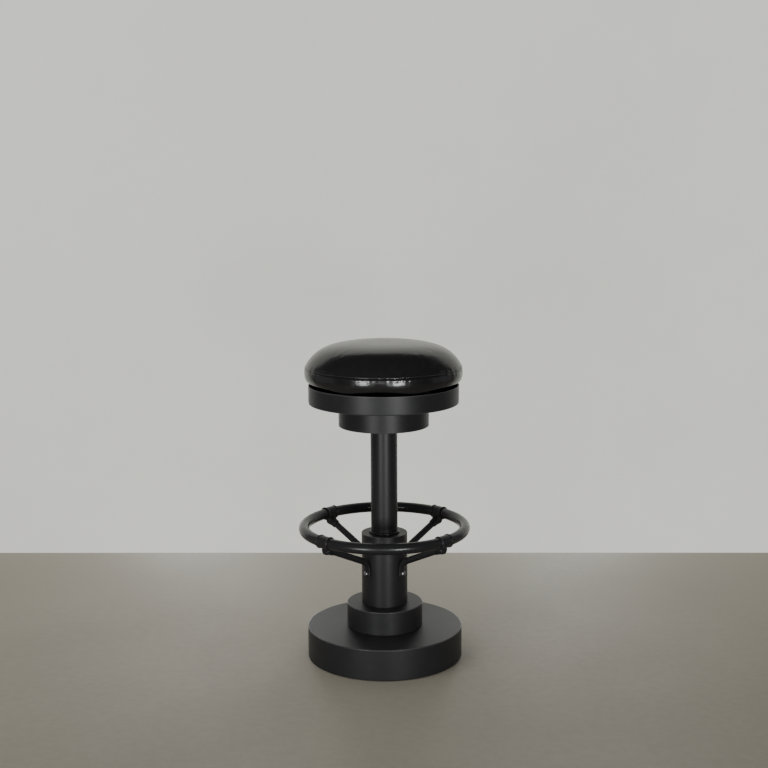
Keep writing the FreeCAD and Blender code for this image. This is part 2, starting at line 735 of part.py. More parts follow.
build_base()
build_column()
build_drums()
build_swivel()
build_cushion()
build_footrest()
export_parts()
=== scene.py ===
import logging
import math
from dataclasses import dataclass, field
from enum import Enum
from typing import Any, Callable, Mapping, Sequence

import bmesh
import bpy
from mathutils import Matrix, Vector, noise
from mathutils.bvhtree import BVHTree


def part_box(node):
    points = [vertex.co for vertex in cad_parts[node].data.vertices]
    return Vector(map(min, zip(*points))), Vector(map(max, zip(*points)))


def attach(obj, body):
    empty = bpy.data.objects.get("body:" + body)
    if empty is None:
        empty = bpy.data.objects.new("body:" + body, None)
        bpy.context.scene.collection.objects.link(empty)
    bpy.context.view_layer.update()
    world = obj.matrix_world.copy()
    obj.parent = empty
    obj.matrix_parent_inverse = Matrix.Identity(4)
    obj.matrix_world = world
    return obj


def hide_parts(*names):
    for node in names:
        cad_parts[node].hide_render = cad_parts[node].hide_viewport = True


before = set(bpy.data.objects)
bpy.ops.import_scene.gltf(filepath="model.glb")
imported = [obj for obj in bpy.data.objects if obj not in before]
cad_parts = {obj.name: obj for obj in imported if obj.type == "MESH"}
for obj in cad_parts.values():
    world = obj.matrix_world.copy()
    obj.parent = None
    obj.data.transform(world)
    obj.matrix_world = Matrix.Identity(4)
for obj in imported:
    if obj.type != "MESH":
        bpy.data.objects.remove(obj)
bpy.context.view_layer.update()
LOG = logging.getLogger("bar_stool")

Colour = tuple[float, float, float]
Spot = tuple[float, float]
Place = tuple[float, float, float]
Ring = list[bmesh.types.BMVert]

UP = Vector((0.0, 0.0, 1.0))
AT_AXIS = 1e-6
RUNNING_FIT = 0.00015


class Body(Enum):
    """The rigid bodies that pieces ride on."""

    STAND = "stand"
    SEAT = "seat"


class Quarter(Enum):
    """Where each spoke and tee stands, in degrees about the vertical axis."""

    BACK_RIGHT = 45
    BACK_LEFT = 135
    FRONT_LEFT = 225
    FRONT_RIGHT = 315


# ---------------------------------------------------------------------------
# Shader maths
# ---------------------------------------------------------------------------


class Wire:
    """One output of a finish's node tree; sums on it add Math nodes."""

    def __init__(self, book: "FinishBook", socket: bpy.types.NodeSocket) -> None:
        """Wrap a socket.

        Args:
            book: The finish that the socket belongs to.
            socket: The output socket.
        """
        self.book = book
        self.socket = socket

    def maths(self, operation: str, *operands: "Wire | float") -> "Wire":
        """Add one Math node.

        Args:
            operation: The Math node's operation.
            operands: The node's inputs in order.

        Returns:
            The node's output.
        """
        return self.book.node("ShaderNodeMath", {"operation": operation}, dict(enumerate(operands)))

    def __add__(self, other: "Wire | float") -> "Wire":
        """Sum."""
        return self.maths("ADD", self, other)

    __radd__ = __add__

    def __sub__(self, other: "Wire | float") -> "Wire":
        """Difference."""
        return self.maths("SUBTRACT", self, other)

    def __rsub__(self, other: "Wire | float") -> "Wire":
        """Difference with the wire on the right."""
        return self.maths("SUBTRACT", other, self)

    def __mul__(self, other: "Wire | float") -> "Wire":
        """Product."""
        return self.maths("MULTIPLY", self, other)

    __rmul__ = __mul__

    def __truediv__(self, other: "Wire | float") -> "Wire":
        """Quotient."""
        return self.maths("DIVIDE", self, other)

    def __pow__(self, other: "Wire | float") -> "Wire":
        """Power."""
        return self.maths("POWER", self, other)

    def sine(self) -> "Wire":
        """Sine of an angle in radians."""
        return self.maths("SINE", self)

    def clipped(self) -> "Wire":
        """The value held between 0 and 1."""
        return self.maths("MINIMUM", self.maths("MAXIMUM", self, 0.0), 1.0)

    def at_least(self, other: "Wire | float") -> "Wire":
        """The larger of two values."""
        return self.maths("MAXIMUM", self, other)

    def near(self, centre: float, width: float) -> "Wire":
        """A soft bump that is 1 at a centre and falls to 0 at a width from it.

        Args:
            centre: Where the bump peaks.
            width: How far it reaches each way.

        Returns:
            The bump's height.
        """
        return (1.0 - self.maths("ABSOLUTE", self - centre) / width).clipped()


def add_node(tree: bpy.types.NodeTree, kind: str, settings: Mapping[str, Any] | None = None,
             inputs: Mapping[Any, Any] | None = None) -> bpy.types.Node:
    """Add a node to any tree: its type, then its settings, then its sockets.

    Args:
        tree: The tree.
        kind: The node's type name.
        settings: Properties set first.
        inputs: Values, wires or output sockets by socket name or index.

    Returns:
        The node.
    """
    made = tree.nodes.new(kind)
    for name, value in (settings or {}).items():
        setattr(made, name, value)
    for key, value in (inputs or {}).items():
        source = value.socket if isinstance(value, Wire) else value
        if isinstance(source, bpy.types.NodeSocket):
            tree.links.new(source, made.inputs[key])
        else:
            made.inputs[key].default_value = source
    return made


class FinishBook:
    """A material being written: its nodes, its patterns and its closing shader."""

    def __init__(self, name: str) -> None:
        """Start an empty material.

        Args:
            name: The material's name.
        """
        self.material = bpy.data.materials.new(name)
        self.material.use_nodes = True
        self.tree = self.material.node_tree
        self.tree.nodes.clear()

    def node(
        self,
        kind: str,
        settings: Mapping[str, Any] | None = None,
        inputs: Mapping[Any, Any] | None = None,
        output: int | str = 0,
    ) -> Wire:
        """Add a node to the material and return one of its outputs."""
        return Wire(self, add_node(self.tree, kind, settings, inputs).outputs[output])

    def place(self) -> Wire:
        """Object coordinates in metres."""
        return self.node("ShaderNodeTexCoord", output="Object")

    def split(self, vector: Wire) -> tuple[Wire, Wire, Wire]:
        """The three parts of a vector."""
        first = self.node("ShaderNodeSeparateXYZ", None, {0: vector})
        outputs = first.socket.node.outputs
        return first, Wire(self, outputs[1]), Wire(self, outputs[2])

    def join(self, x: Wire | float, y: Wire | float, z: Wire | float) -> Wire:
        """A vector from three parts."""
        return self.node("ShaderNodeCombineXYZ", None, {0: x, 1: y, 2: z})

    def around(self, vector: Wire) -> tuple[Wire, Wire, Wire]:
        """Cylindrical parts of a place: reach from the axis, angle and height."""
        x, y, z = self.split(vector)
        return (x * x + y * y) ** 0.5, y.maths("ARCTAN2", y, x), z

    def cloud(self, vector: Wire, scale: float, detail: float = 2.0, rough: float = 0.5) -> Wire:
        """Fractal noise from 0 to 1.

        Args:
            vector: Where to read it.
            scale: Features per metre.
            detail: Octaves.
            rough: Weight of the finer octaves.

        Returns:
            The noise value.
        """
        return self.node("ShaderNodeTexNoise", None,
                         {"Vector": vector, "Scale": scale, "Detail": detail, "Roughness": rough})

    def cells(self, vector: Wire, scale: float) -> Wire:
        """Distance pattern of softly merging cells."""
        return self.node("ShaderNodeTexVoronoi", {"feature": "SMOOTH_F1"},
                         {"Vector": vector, "Scale": scale})

    def blend(self, first: Wire | Colour, second: Wire | Colour, share: Wire | float) -> Wire:
        """Mix two colours by a share of the second."""
        colours = [item if isinstance(item, Wire) else (*item, 1.0) for item in (first, second)]
        return self.node("ShaderNodeMix", {"data_type": "RGBA"}, {0: share, 6: colours[0], 7: colours[1]}, 2)

    def relief(self, height: Wire, depth: float, strength: float = 1.0, **more: Wire) -> Wire:
        """Bump from a height pattern.

        Args:
            height: The pattern, about 0 to 1.
            depth: Its depth in metres.
            strength: How fully it shows.
            more: A normal to bump further, as Normal.

        Returns:
            The bumped normal.
        """
        inputs = {"Height": height, "Distance": depth, "Strength": strength, **more}
        return self.node("ShaderNodeBump", None, inputs, "Normal")

    def finish(self, colour: Wire | Colour, roughness: Wire | float, normal: Wire | None = None,
               **fixed: float) -> bpy.types.Material:
        """Close the material with one surface shader.

        Args:
            colour: Base colour.
            roughness: Roughness.
            normal: Bumped normal, where there is relief.
            fixed: Constant sockets, with spaces written as underscores.

        Returns:
            The finished material.
        """
        inputs: dict[str, Any] = {
            "Base Color": colour if isinstance(colour, Wire) else (*colour, 1.0),
            "Roughness": roughness,
        }
        if normal is not None:
            inputs["Normal"] = normal
        inputs.update({name.replace("_", " "): value for name, value in fixed.items()})
        shader = self.node("ShaderNodeBsdfPrincipled", None, inputs)
        self.node_output(shader)
        return self.material

    def node_output(self, shader: Wire) -> None:
        """Link a shader to the material's output."""
        add_node(self.tree, "ShaderNodeOutputMaterial", None, {"Surface": shader})


# ---------------------------------------------------------------------------
# Finishes
# ---------------------------------------------------------------------------


@dataclass(frozen=True)
class Finish:
    """A surface finish; each kind writes its own nodes."""

    name: str

    def make(self) -> bpy.types.Material:
        """Write the material.

        Returns:
            The finished material.
        """
        book = FinishBook(self.name)
        return self.write(book, book.place())

    def write(self, book: FinishBook, place: Wire) -> bpy.types.Material:
        """Write this finish's nodes.

        Args:
            book: The material being written.
            place: Object coordinates.

        Returns:
            The finished material.
        """
        raise NotImplementedError


@dataclass(frozen=True)
class PowderCoat(Finish):
    """Baked black powder on steel: fine orange peel, uneven sheen, and a painted highlight along the turned
    edges that also stands for rubbed paint.
    """

    colour: Colour = (0.0105, 0.0105, 0.0112)
    roughness: float = 0.4
    peel: float = 0.00005
    edges: tuple[Spot, ...] = ()
    shine: float = 0.25

    def write(self, book: FinishBook, place: Wire) -> bpy.types.Material:
        """Write this finish's nodes."""
        sheen = book.cloud(place, 6.0, 3.0)
        handled = book.cloud(place, 45.0, 4.0, 0.6)
        peel = book.cloud(place, 620.0, 2.0)
        grit = book.cloud(place, 2300.0, 1.0)
        edge_lit_and_worn = self.edge_highlight_and_wear(book, place) * handled
        dust = (handled - 0.52).clipped() * 0.5
        # Lightens the turned edges towards pale grey: a painted highlight line that also stands for rubbed
        # paint; the dust patches are real dust.
        colour = book.blend(self.colour, (0.085, 0.085, 0.087), edge_lit_and_worn * 0.9 + dust * 0.3)
        roughness = self.roughness + (sheen - 0.5) * 0.12 + (grit - 0.5) * 0.07 - edge_lit_and_worn * 0.16
        normal = book.relief(peel * 0.75 + grit * 0.25, self.peel)
        return book.finish(colour, roughness, normal, Specular_IOR_Level=self.shine)

    def edge_highlight_and_wear(self, book: FinishBook, place: Wire) -> Wire:
        """Where turned edges get a painted highlight line, which also stands for rubbed paint.

        Args:
            book: The material being written.
            place: Object coordinates.

        Returns:
            0 away from the edges, 1 on them.
        """
        reach, _, height = book.around(place)
        total = reach * 0.0
        for edge_reach, edge_height in self.edges:
            total = total.at_least(reach.near(edge_reach, 0.003) * height.near(edge_height, 0.003))
        return total


@dataclass(frozen=True)
class SmoothLeather(Finish):
    """Semi-gloss black hide: tight pebble, pores, and creases that run off the seam."""

    seam_height: float
    colour: Colour = (0.0072, 0.007, 0.0072)
    roughness: float = 0.2

    def write(self, book: FinishBook, place: Wire) -> bpy.types.Material:
        """Write this finish's nodes."""
        reach, angle, height = book.around(place)
        pebble = book.cells(place, 620.0)
        pores = book.cloud(place, 1900.0, 2.0)
        broad = book.cloud(place, 11.0, 3.0)
        patches = book.cloud(place, 60.0, 4.0, 0.6)
        beside_seam = height.near(self.seam_height, 0.02) ** 1.6
        strands = book.cloud(book.join(angle * 26.0, height * 60.0, 0.0), 1.0, 3.0, 0.6)
        soft_creases = book.cloud(book.join(angle * 5.0, reach * 20.0, height * 30.0), 1.0, 4.0)
        wrinkles = strands * beside_seam * 2.4 + soft_creases * 0.35
        normal = book.relief(pebble * 0.5 + pores * 0.22, 0.00008)
        creased = book.relief(wrinkles, 0.0007, 0.5, Normal=normal)
        rubbed = (patches - 0.5).clipped()
        colour = book.blend(self.colour, (0.021, 0.0205, 0.02), rubbed * 0.7 + pores * 0.1)
        roughness = self.roughness + (broad - 0.5) * 0.1 + (pores - 0.5) * 0.1 + rubbed * 0.12
        return book.finish(colour, roughness, creased, Specular_IOR_Level=0.38)


@dataclass(frozen=True)
class BareSteel(Finish):
    """Plated or polished steel with turning marks about an upright axis."""

    colour: Colour = (0.55, 0.55, 0.56)
    roughness: float = 0.32

    def write(self, book: FinishBook, place: Wire) -> bpy.types.Material:
        """Write this finish's nodes."""
        marks = book.cloud(place, 1400.0, 2.0)
        stain = book.cloud(place, 70.0, 3.0)
        colour = book.blend(self.colour, (0.3, 0.29, 0.27), (stain - 0.45).clipped() * 0.8)
        roughness = self.roughness + (marks - 0.5) * 0.16 + stain * 0.08
        return book.finish(colour, roughness, book.relief(marks, 0.00003), Metallic=1.0)


@dataclass(frozen=True)
class RoughStock(Finish):
    """Matte solid stock, such as cast iron, rubber or nylon."""

    colour: Colour
    second: Colour
    roughness: float
    grain: float
    depth: float

    def write(self, book: FinishBook, place: Wire) -> bpy.types.Material:
        """Write this finish's nodes."""
        grain = book.cloud(place, self.grain, 3.0)
        mottle = book.cloud(place, self.grain * 0.06, 3.0)
        colour = book.blend(self.colour, self.second, grain * 0.55 + mottle * 0.3)
        roughness = self.roughness + (mottle - 0.5) * 0.14
        return book.finish(colour, roughness, book.relief(grain, self.depth))


@dataclass(frozen=True)
class LayeredBoard(Finish):
    """Birch board: face grain along X and dark glue lines between its plies."""

    light: Colour
    dark: Colour
    bottom: float
    ply: float = 0.0015

    def write(self, book: FinishBook, place: Wire) -> bpy.types.Material:
        """Write this finish's nodes."""
        x, y, z = book.split(place)
        grain = book.cloud(book.join(x * 9.0, y * 150.0, z * 150.0), 1.0, 4.0, 0.6)
        layers = ((z - self.bottom) * (math.pi / self.ply)).sine()
        glue = (0.25 - layers * layers).clipped() * 2.4
        colour = book.blend(self.light, self.dark, grain * 0.5 + glue)
        roughness = 0.62 + (grain - 0.5) * 0.2
        return book.finish(colour, roughness, book.relief(grain - glue, 0.00015))


@dataclass(frozen=True)
class LiningCloth(Finish):
    """Thin black cambric under the seat, in a plain weave."""

    colour: Colour = (0.012, 0.012, 0.013)
    thread: float = 0.0007

    def write(self, book: FinishBook, place: Wire) -> bpy.types.Material:
        """Write this finish's nodes."""
        x, y, _ = book.split(place)
        turn = math.pi / self.thread
        weave = (x * turn).sine() * (y * turn).sine() * 0.5 + 0.5
        slub = book.cloud(place, 300.0, 2.0)
        colour = book.blend(self.colour, (0.035, 0.035, 0.037), weave * 0.5 + slub * 0.3)
        roughness = 0.86 + (slub - 0.5) * 0.1
        return book.finish(colour, roughness, book.relief(weave, 0.0002))


@dataclass(frozen=True)
class WaxedThread(Finish):
    """Twisted black sewing thread, a little lighter than the hide."""

    colour: Colour = (0.016, 0.0155, 0.015)

    def write(self, book: FinishBook, place: Wire) -> bpy.types.Material:
        """Write this finish's nodes."""
        _, angle, height = book.around(place)
        twist = (angle * 1600.0 + height * 5200.0).sine() * 0.5 + 0.5
        fuzz = book.cloud(place, 4200.0, 2.0)
        colour = book.blend(self.colour, (0.05, 0.048, 0.045), twist * 0.5 + fuzz * 0.2)
        roughness = 0.55 + (fuzz - 0.5) * 0.2
        return book.finish(colour, roughness, book.relief(twist, 0.0001))


@dataclass(frozen=True)
class StudioFloor(Finish):
    """Plain pale floor with the faint mottling of sealed concrete, and painted shade that darkens it towards
    the front.
    """

    colour: Colour = (0.25, 0.23, 0.184)

    def write(self, book: FinishBook, place: Wire) -> bpy.types.Material:
        """Write this finish's nodes."""
        broad = book.cloud(place, 1.4, 4.0, 0.55)
        fine = book.cloud(place, 42.0, 5.0, 0.6)
        darker = tuple(part * 0.62 for part in self.colour)
        _, depth, _ = book.split(place)
        # Concrete mottling, plus painted shade that darkens the floor towards the front (more negative Y).
        mottle_and_front_shade = broad * 0.6 + (fine - 0.5) * 0.35 - (depth + 0.1) * 0.7
        colour = book.blend(self.colour, darker, mottle_and_front_shade.clipped())
        roughness = 0.68 + (broad - 0.5) * 0.2 + (fine - 0.5) * 0.12
        return book.finish(colour, roughness, book.relief(fine, 0.0006), Specular_IOR_Level=0.2)


@dataclass(frozen=True)
class StudioPlaster(Finish):
    """Pale trowelled plaster that shows only from its front."""

    colour: Colour = (0.8, 0.8, 0.74)
    strength: float = 1.0

    def write(self, book: FinishBook, place: Wire) -> bpy.types.Material:
        """Write this finish's nodes."""
        broad = book.cloud(place, 0.7, 3.0, 0.5)
        trowel = book.cloud(place, 9.0, 6.0, 0.62)
        darker = tuple(part * 0.74 for part in self.colour)
        colour = book.blend(self.colour, darker, broad * 0.8 + (trowel - 0.5) * 0.2)
        front = book.node("ShaderNodeBsdfPrincipled", None,
                          {"Base Color": (0.12, 0.12, 0.115, 1.0), "Roughness": 0.85 + (trowel - 0.5) * 0.1,
                           "Normal": book.relief(trowel, 0.004), "Emission Color": colour,
                           "Emission Strength": self.strength})
        back = book.node("ShaderNodeBsdfTransparent")
        which = book.node("ShaderNodeNewGeometry", output="Backfacing")
        book.node_output(book.node("ShaderNodeMixShader", None, {0: which, 1: front, 2: back}))
        return book.material


# ---------------------------------------------------------------------------
# Mesh making
# ---------------------------------------------------------------------------


@dataclass(frozen=True)
class Extent:
    """How far a frame node reaches: its bottom, its top and its radius."""

    bottom: float
    top: float
    radius: float

    @classmethod
    def of(cls, node: str) -> "Extent":
        """Measure a frame node.

        Args:
            node: The node's name.

        Returns:
            Its extent about the vertical axis.
        """
        low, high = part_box(node)
        return cls(low.z, high.z, (high.x - low.x) / 2)


def extent_field(node: str) -> Any:
    """A dataclass field that holds a frame node's extent."""
    return field(default_factory=lambda: Extent.of(node))


@dataclass(frozen=True)
class Corner:
    """One corner of a turned outline: reach, height and the radius that eases it."""

    reach: float
    height: float
    ease: float = 0.0

    def vector(self) -> Vector:
        """The corner as a flat vector."""
        return Vector((self.reach, self.height))


def polar(reach: float, angle: float, height: float) -> Place:
    """A point by its reach, its angle about the vertical axis and its height."""
    return reach * math.cos(angle), reach * math.sin(angle), height


def round_angles(count: int) -> list[float]:
    """Evenly spaced angles round a full turn."""
    return [math.tau * k / count for k in range(count)]


def bearing(degrees: float) -> tuple[Vector, Vector]:
    """The outward and the sideways direction at an angle about the vertical axis."""
    angle = math.radians(degrees)
    return Vector((math.cos(angle), math.sin(angle), 0.0)), Vector((-math.sin(angle), math.cos(angle), 0.0))


def around_point(points: Sequence[Any], index: int) -> tuple[Any, Any]:
    """The points before and after one in a row, or itself at the row's ends."""
    return points[max(0, index - 1)], points[min(len(points) - 1, index + 1)]


def eased_outline(corners: Sequence[Corner], steps: int = 5, hold: float = 0.0005) -> list[Vector]:
    """Round a closed outline's eased corners and hold their flats with support points.

    Args:
        corners: The outline's corners in order.
        steps: Segments in each rounded corner.
        hold: How far the support points stand back from a rounding.

    Returns:
        The outline's points as reach and height.
    """
    points: list[Vector] = []
    count = len(corners)
    for index, corner in enumerate(corners):
        here = corner.vector()
        if corner.ease <= 0.0:
            points.append(here)
            continue
        back = (corners[index - 1].vector() - here).normalized()
        ahead = (corners[(index + 1) % count].vector() - here).normalized()
        half = math.acos(max(-1.0, min(1.0, back.dot(ahead)))) / 2
        run = corner.ease / math.tan(half)
        centre = here + (back + ahead).normalized() * (corner.ease / math.sin(half))
        start = here + back * run - centre
        sweep = start.angle_signed(here + ahead * run - centre)
        points.append(here + back * (run + hold))
        for step in range(steps + 1):
            turn = Matrix.Rotation(-sweep * step / steps, 2)
            points.append(centre + turn @ start)
        points.append(here + ahead * (run + hold))
    return points


def mesh_piece(name: str, shape: bmesh.types.BMesh, smooth: bool = True,
               sharp: float = 40.0) -> bpy.types.Object:
    """Turn a bmesh into a piece at the origin, with its faces outward.

    Args:
        name: The piece's name.
        shape: The mesh, which is freed.
        smooth: Whether faces are shaded smooth.
        sharp: Edges steeper than this many degrees stay crisp.

    Returns:
        The new object, linked to the scene.
    """
    bmesh.ops.remove_doubles(shape, verts=shape.verts, dist=1e-7)
    bmesh.ops.recalc_face_normals(shape, faces=shape.faces)
    mesh = bpy.data.meshes.new(name)
    shape.to_mesh(mesh)
    shape.free()
    piece = bpy.data.objects.new(name, mesh)
    bpy.context.scene.collection.objects.link(piece)
    if smooth:
        mesh.shade_smooth()
        mesh.set_sharp_from_angle(angle=math.radians(sharp))
    return piece


def turn_outline(name: str, outline: Sequence[Vector], facets: int = 192) -> bpy.types.Object:
    """Turn a closed outline about the vertical axis.

    Args:
        name: The piece's name.
        outline: Points as reach and height; a reach of 0 makes a pole.
        facets: Steps round the axis.

    Returns:
        The turned piece.
    """
    shape = bmesh.new()
    rings = [level_ring(shape, point.x, point.y, facets) for point in outline]
    bridge_all(shape, rings + rings[:1])
    return mesh_piece(name, shape)


def level_ring(shape: bmesh.types.BMesh, reach: float, height: float, facets: int) -> Ring:
    """Add one level ring about the vertical axis, or a single point on the axis.

    Args:
        shape: The mesh to add to.
        reach: The ring's radius.
        height: Its height.
        facets: Points round it.

    Returns:
        The ring's vertices.
    """
    if reach < AT_AXIS:
        return [shape.verts.new((0.0, 0.0, height))]
    return [shape.verts.new(polar(reach, angle, height)) for angle in round_angles(facets)]


def bridge_all(shape: bmesh.types.BMesh, rings: Sequence[Ring]) -> None:
    """Face each ring to the next."""
    for first, second in zip(rings, rings[1:]):
        bridge_rings(shape, first, second)


def bridge_rings(shape: bmesh.types.BMesh, first: Ring, second: Ring) -> None:
    """Face two neighbouring closed rings, either of which may be a pole.

    Args:
        shape: The mesh.
        first: One ring.
        second: The next ring.
    """
    count = max(len(first), len(second))
    if count == 1:
        return
    for k in range(count):
        after = (k + 1) % count
        if len(first) == 1:
            shape.faces.new((first[0], second[k], second[after]))
        elif len(second) == 1:
            shape.faces.new((first[k], first[after], second[0]))
        else:
            shape.faces.new((first[k], first[after], second[after], second[k]))


@dataclass(frozen=True)
class Section:
    """A cross-section of a swept bar: its centre, axes and half sizes."""

    centre: Vector
    side: Vector
    rise: Vector
    half_side: float
    half_rise: float
    saddle: float = 0.0

    def ring(self, count: int) -> list[Vector]:
        """Points round the section.

        Args:
            count: How many points.

        Returns:
            The points in space.
        """
        points = []
        for k in range(count):
            angle = math.tau * k / count
            flatness = 1.0 - min(1.0, self.half_rise / self.half_side)
            power = 1.0 - 0.55 * flatness
            across = math.copysign(abs(math.cos(angle)) ** power, math.cos(angle)) * self.half_side
            up = math.copysign(abs(math.sin(angle)) ** power, math.sin(angle)) * self.half_rise
            up -= self.saddle * across * across
            points.append(self.centre + self.side * across + self.rise * up)
        return points


def sweep_sections(shape: bmesh.types.BMesh, sections: Sequence[Section], count: int = 28) -> None:
    """Skin a run of sections and close both ends.

    Args:
        shape: The mesh to add to.
        sections: The sections in order.
        count: Points round each one.
    """
    rings = [[shape.verts.new(point) for point in section.ring(count)] for section in sections]
    bridge_all(shape, rings)
    for ring, section in ((rings[0], sections[0]), (rings[-1], sections[-1])):
        bridge_rings(shape, ring, [shape.verts.new(section.centre)])


def install(piece: bpy.types.Object, body: Body, slot: str, finish: bpy.types.Material,
            replaces: Sequence[str] = ()) -> bpy.types.Object:
    """Give a piece its finish, its body and the frame nodes it stands for.

    Args:
        piece: The finished object at the origin.
        body: The body that it rides on.
        slot: The record's material slot; not used.
        finish: Its material.
        replaces: Frame nodes that it stands for.

    Returns:
        The same piece.
    """
    piece.data.materials.clear()
    piece.data.materials.append(finish)
    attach(piece, body.value)
    if replaces:
        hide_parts(*replaces)
    LOG.info("%s: %d faces on %s", piece.name, len(piece.data.polygons), body.value)
    return piece


def install_coated(piece: bpy.types.Object, finish: bpy.types.Material, node: str) -> None:
    """Put a powder-coated piece of the stand in place of its plain node."""
    install(piece, Body.STAND, "black_powder", finish, [node])


def baked_copy(source: bpy.types.Object, name: str) -> bpy.types.Object:
    """Make a plain mesh of an object as its modifiers leave it, and drop the source.

    Args:
        source: The object with live modifiers.
        name: The new piece's name.

    Returns:
        The plain piece.
    """
    graph = bpy.context.evaluated_depsgraph_get()
    mesh = bpy.data.meshes.new_from_object(source.evaluated_get(graph))
    source.modifiers.clear()
    bpy.data.objects.remove(source)
    mesh.name = name
    piece = bpy.data.objects.new(name, mesh)
    bpy.context.scene.collection.objects.link(piece)
    return piece


# ---------------------------------------------------------------------------
# Repeats
# ---------------------------------------------------------------------------


class RepeatTree:
    """A geometry tree that copies its own object round the vertical axis."""

    lean_back = -0.05

    def __init__(self, name: str, onto: bpy.types.Object | None = None) -> None:
        """Build the tree.

        Args:
            name: The tree's name.
            onto: A surface that the copies are dropped onto along the radius.
        """
        self.tree = bpy.data.node_groups.new(name, "GeometryNodeTree")
        self.onto = onto
        self.sockets: dict[str, str] = {}
        face = self.tree.interface
        face.new_socket("Geometry", in_out="INPUT", socket_type="NodeSocketGeometry")
        for label, kind in (("Count", "NodeSocketInt"), ("Radius", "NodeSocketFloat"),
                            ("Height", "NodeSocketFloat"), ("First angle", "NodeSocketFloat"),
                            ("Waver", "NodeSocketFloat"), ("Seed", "NodeSocketInt"),
                            ("Finish", "NodeSocketMaterial")):
            self.sockets[label] = face.new_socket(label, in_out="INPUT", socket_type=kind).identifier
        face.new_socket("Geometry", in_out="OUTPUT", socket_type="NodeSocketGeometry")
        self.build()

    def node(self, kind: str, settings: Mapping[str, Any] | None = None,
             inputs: Mapping[Any, Any] | None = None) -> bpy.types.Node:
        """Add a node to the geometry tree."""
        return add_node(self.tree, kind, settings, inputs)

    def build(self) -> None:
        """Lay out the points, turn a copy to face outwards at each, and realise them."""
        given = self.node("NodeGroupInput").outputs
        circle = self.node("GeometryNodeMeshCircle", None,
                           {"Vertices": given["Count"], "Radius": given["Radius"]})
        turn = self.node("ShaderNodeCombineXYZ", None, {2: given["First angle"]})
        lift = self.node("ShaderNodeCombineXYZ", None, {2: given["Height"]})
        placed = self.node("GeometryNodeTransform", None,
                           {"Geometry": circle.outputs[0], "Rotation": turn.outputs[0],
                            "Translation": lift.outputs[0]})
        points = placed.outputs[0]
        where = self.node("GeometryNodeInputPosition").outputs[0]
        parts = self.node("ShaderNodeSeparateXYZ", None, {0: where}).outputs
        if self.onto is not None:
            points = self.dropped(points, parts)
        angle = self.node("ShaderNodeMath", {"operation": "ARCTAN2"}, {0: parts[1], 1: parts[0]})
        waver = self.node("FunctionNodeRandomValue", {"data_type": "FLOAT"}, {"Seed": given["Seed"]})
        lean = self.node("ShaderNodeMath", {"operation": "MULTIPLY_ADD"},
                         {0: waver.outputs[1], 1: given["Waver"], 2: self.lean_back})
        facing = self.node("ShaderNodeCombineXYZ", None, {0: lean.outputs[0], 2: angle.outputs[0]})
        copies = self.node("GeometryNodeInstanceOnPoints", None,
                           {"Points": points, "Instance": given["Geometry"], "Rotation": facing.outputs[0]})
        solid = self.node("GeometryNodeRealizeInstances", None, {0: copies.outputs[0]})
        dressed = self.node("GeometryNodeSetMaterial", None,
                            {"Geometry": solid.outputs[0], "Material": given["Finish"]})
        self.node("NodeGroupOutput", None, {0: dressed.outputs[0]})

    def dropped(self, points: bpy.types.NodeSocket, parts: Any) -> bpy.types.NodeSocket:
        """Move the points inwards onto the chosen surface.

        Args:
            points: The points to move.
            parts: The parts of their positions.

        Returns:
            The moved points.
        """
        surface = self.node("GeometryNodeObjectInfo", {"transform_space": "ORIGINAL"}, {"Object": self.onto})
        inward = self.node("ShaderNodeCombineXYZ", None, {0: parts[0], 1: parts[1]})
        back = self.node("ShaderNodeVectorMath", {"operation": "SCALE"},
                         {0: inward.outputs[0], "Scale": -1.0})
        hit = self.node("GeometryNodeRaycast", {"data_type": "FLOAT"},
                        {"Target Geometry": surface.outputs["Geometry"], "Ray Direction": back.outputs[0],
                         "Ray Length": 0.1})
        moved = self.node("GeometryNodeSetPosition", None,
                          {"Geometry": points, "Selection": hit.outputs["Is Hit"],
                           "Position": hit.outputs["Hit Position"]})
        return moved.outputs[0]

    def repeat(self, template: bpy.types.Object, name: str, finish: bpy.types.Material,
               **values: float) -> bpy.types.Object:
        """Run the tree on a template.

        Args:
            template: The object to copy, which is used up.
            name: The new piece's name.
            finish: The copies' material.
            values: Inputs by their label, with spaces written as underscores.

        Returns:
            One plain mesh of all the copies.
        """
        modifier = template.modifiers.new(name, "NODES")
        modifier.node_group = self.tree
        for label, value in values.items():
            modifier[self.sockets[label.replace("_", " ")]] = value
        modifier[self.sockets["Finish"]] = finish
        return baked_copy(template, name)


# ---------------------------------------------------------------------------
# The stool's assemblies
# ---------------------------------------------------------------------------


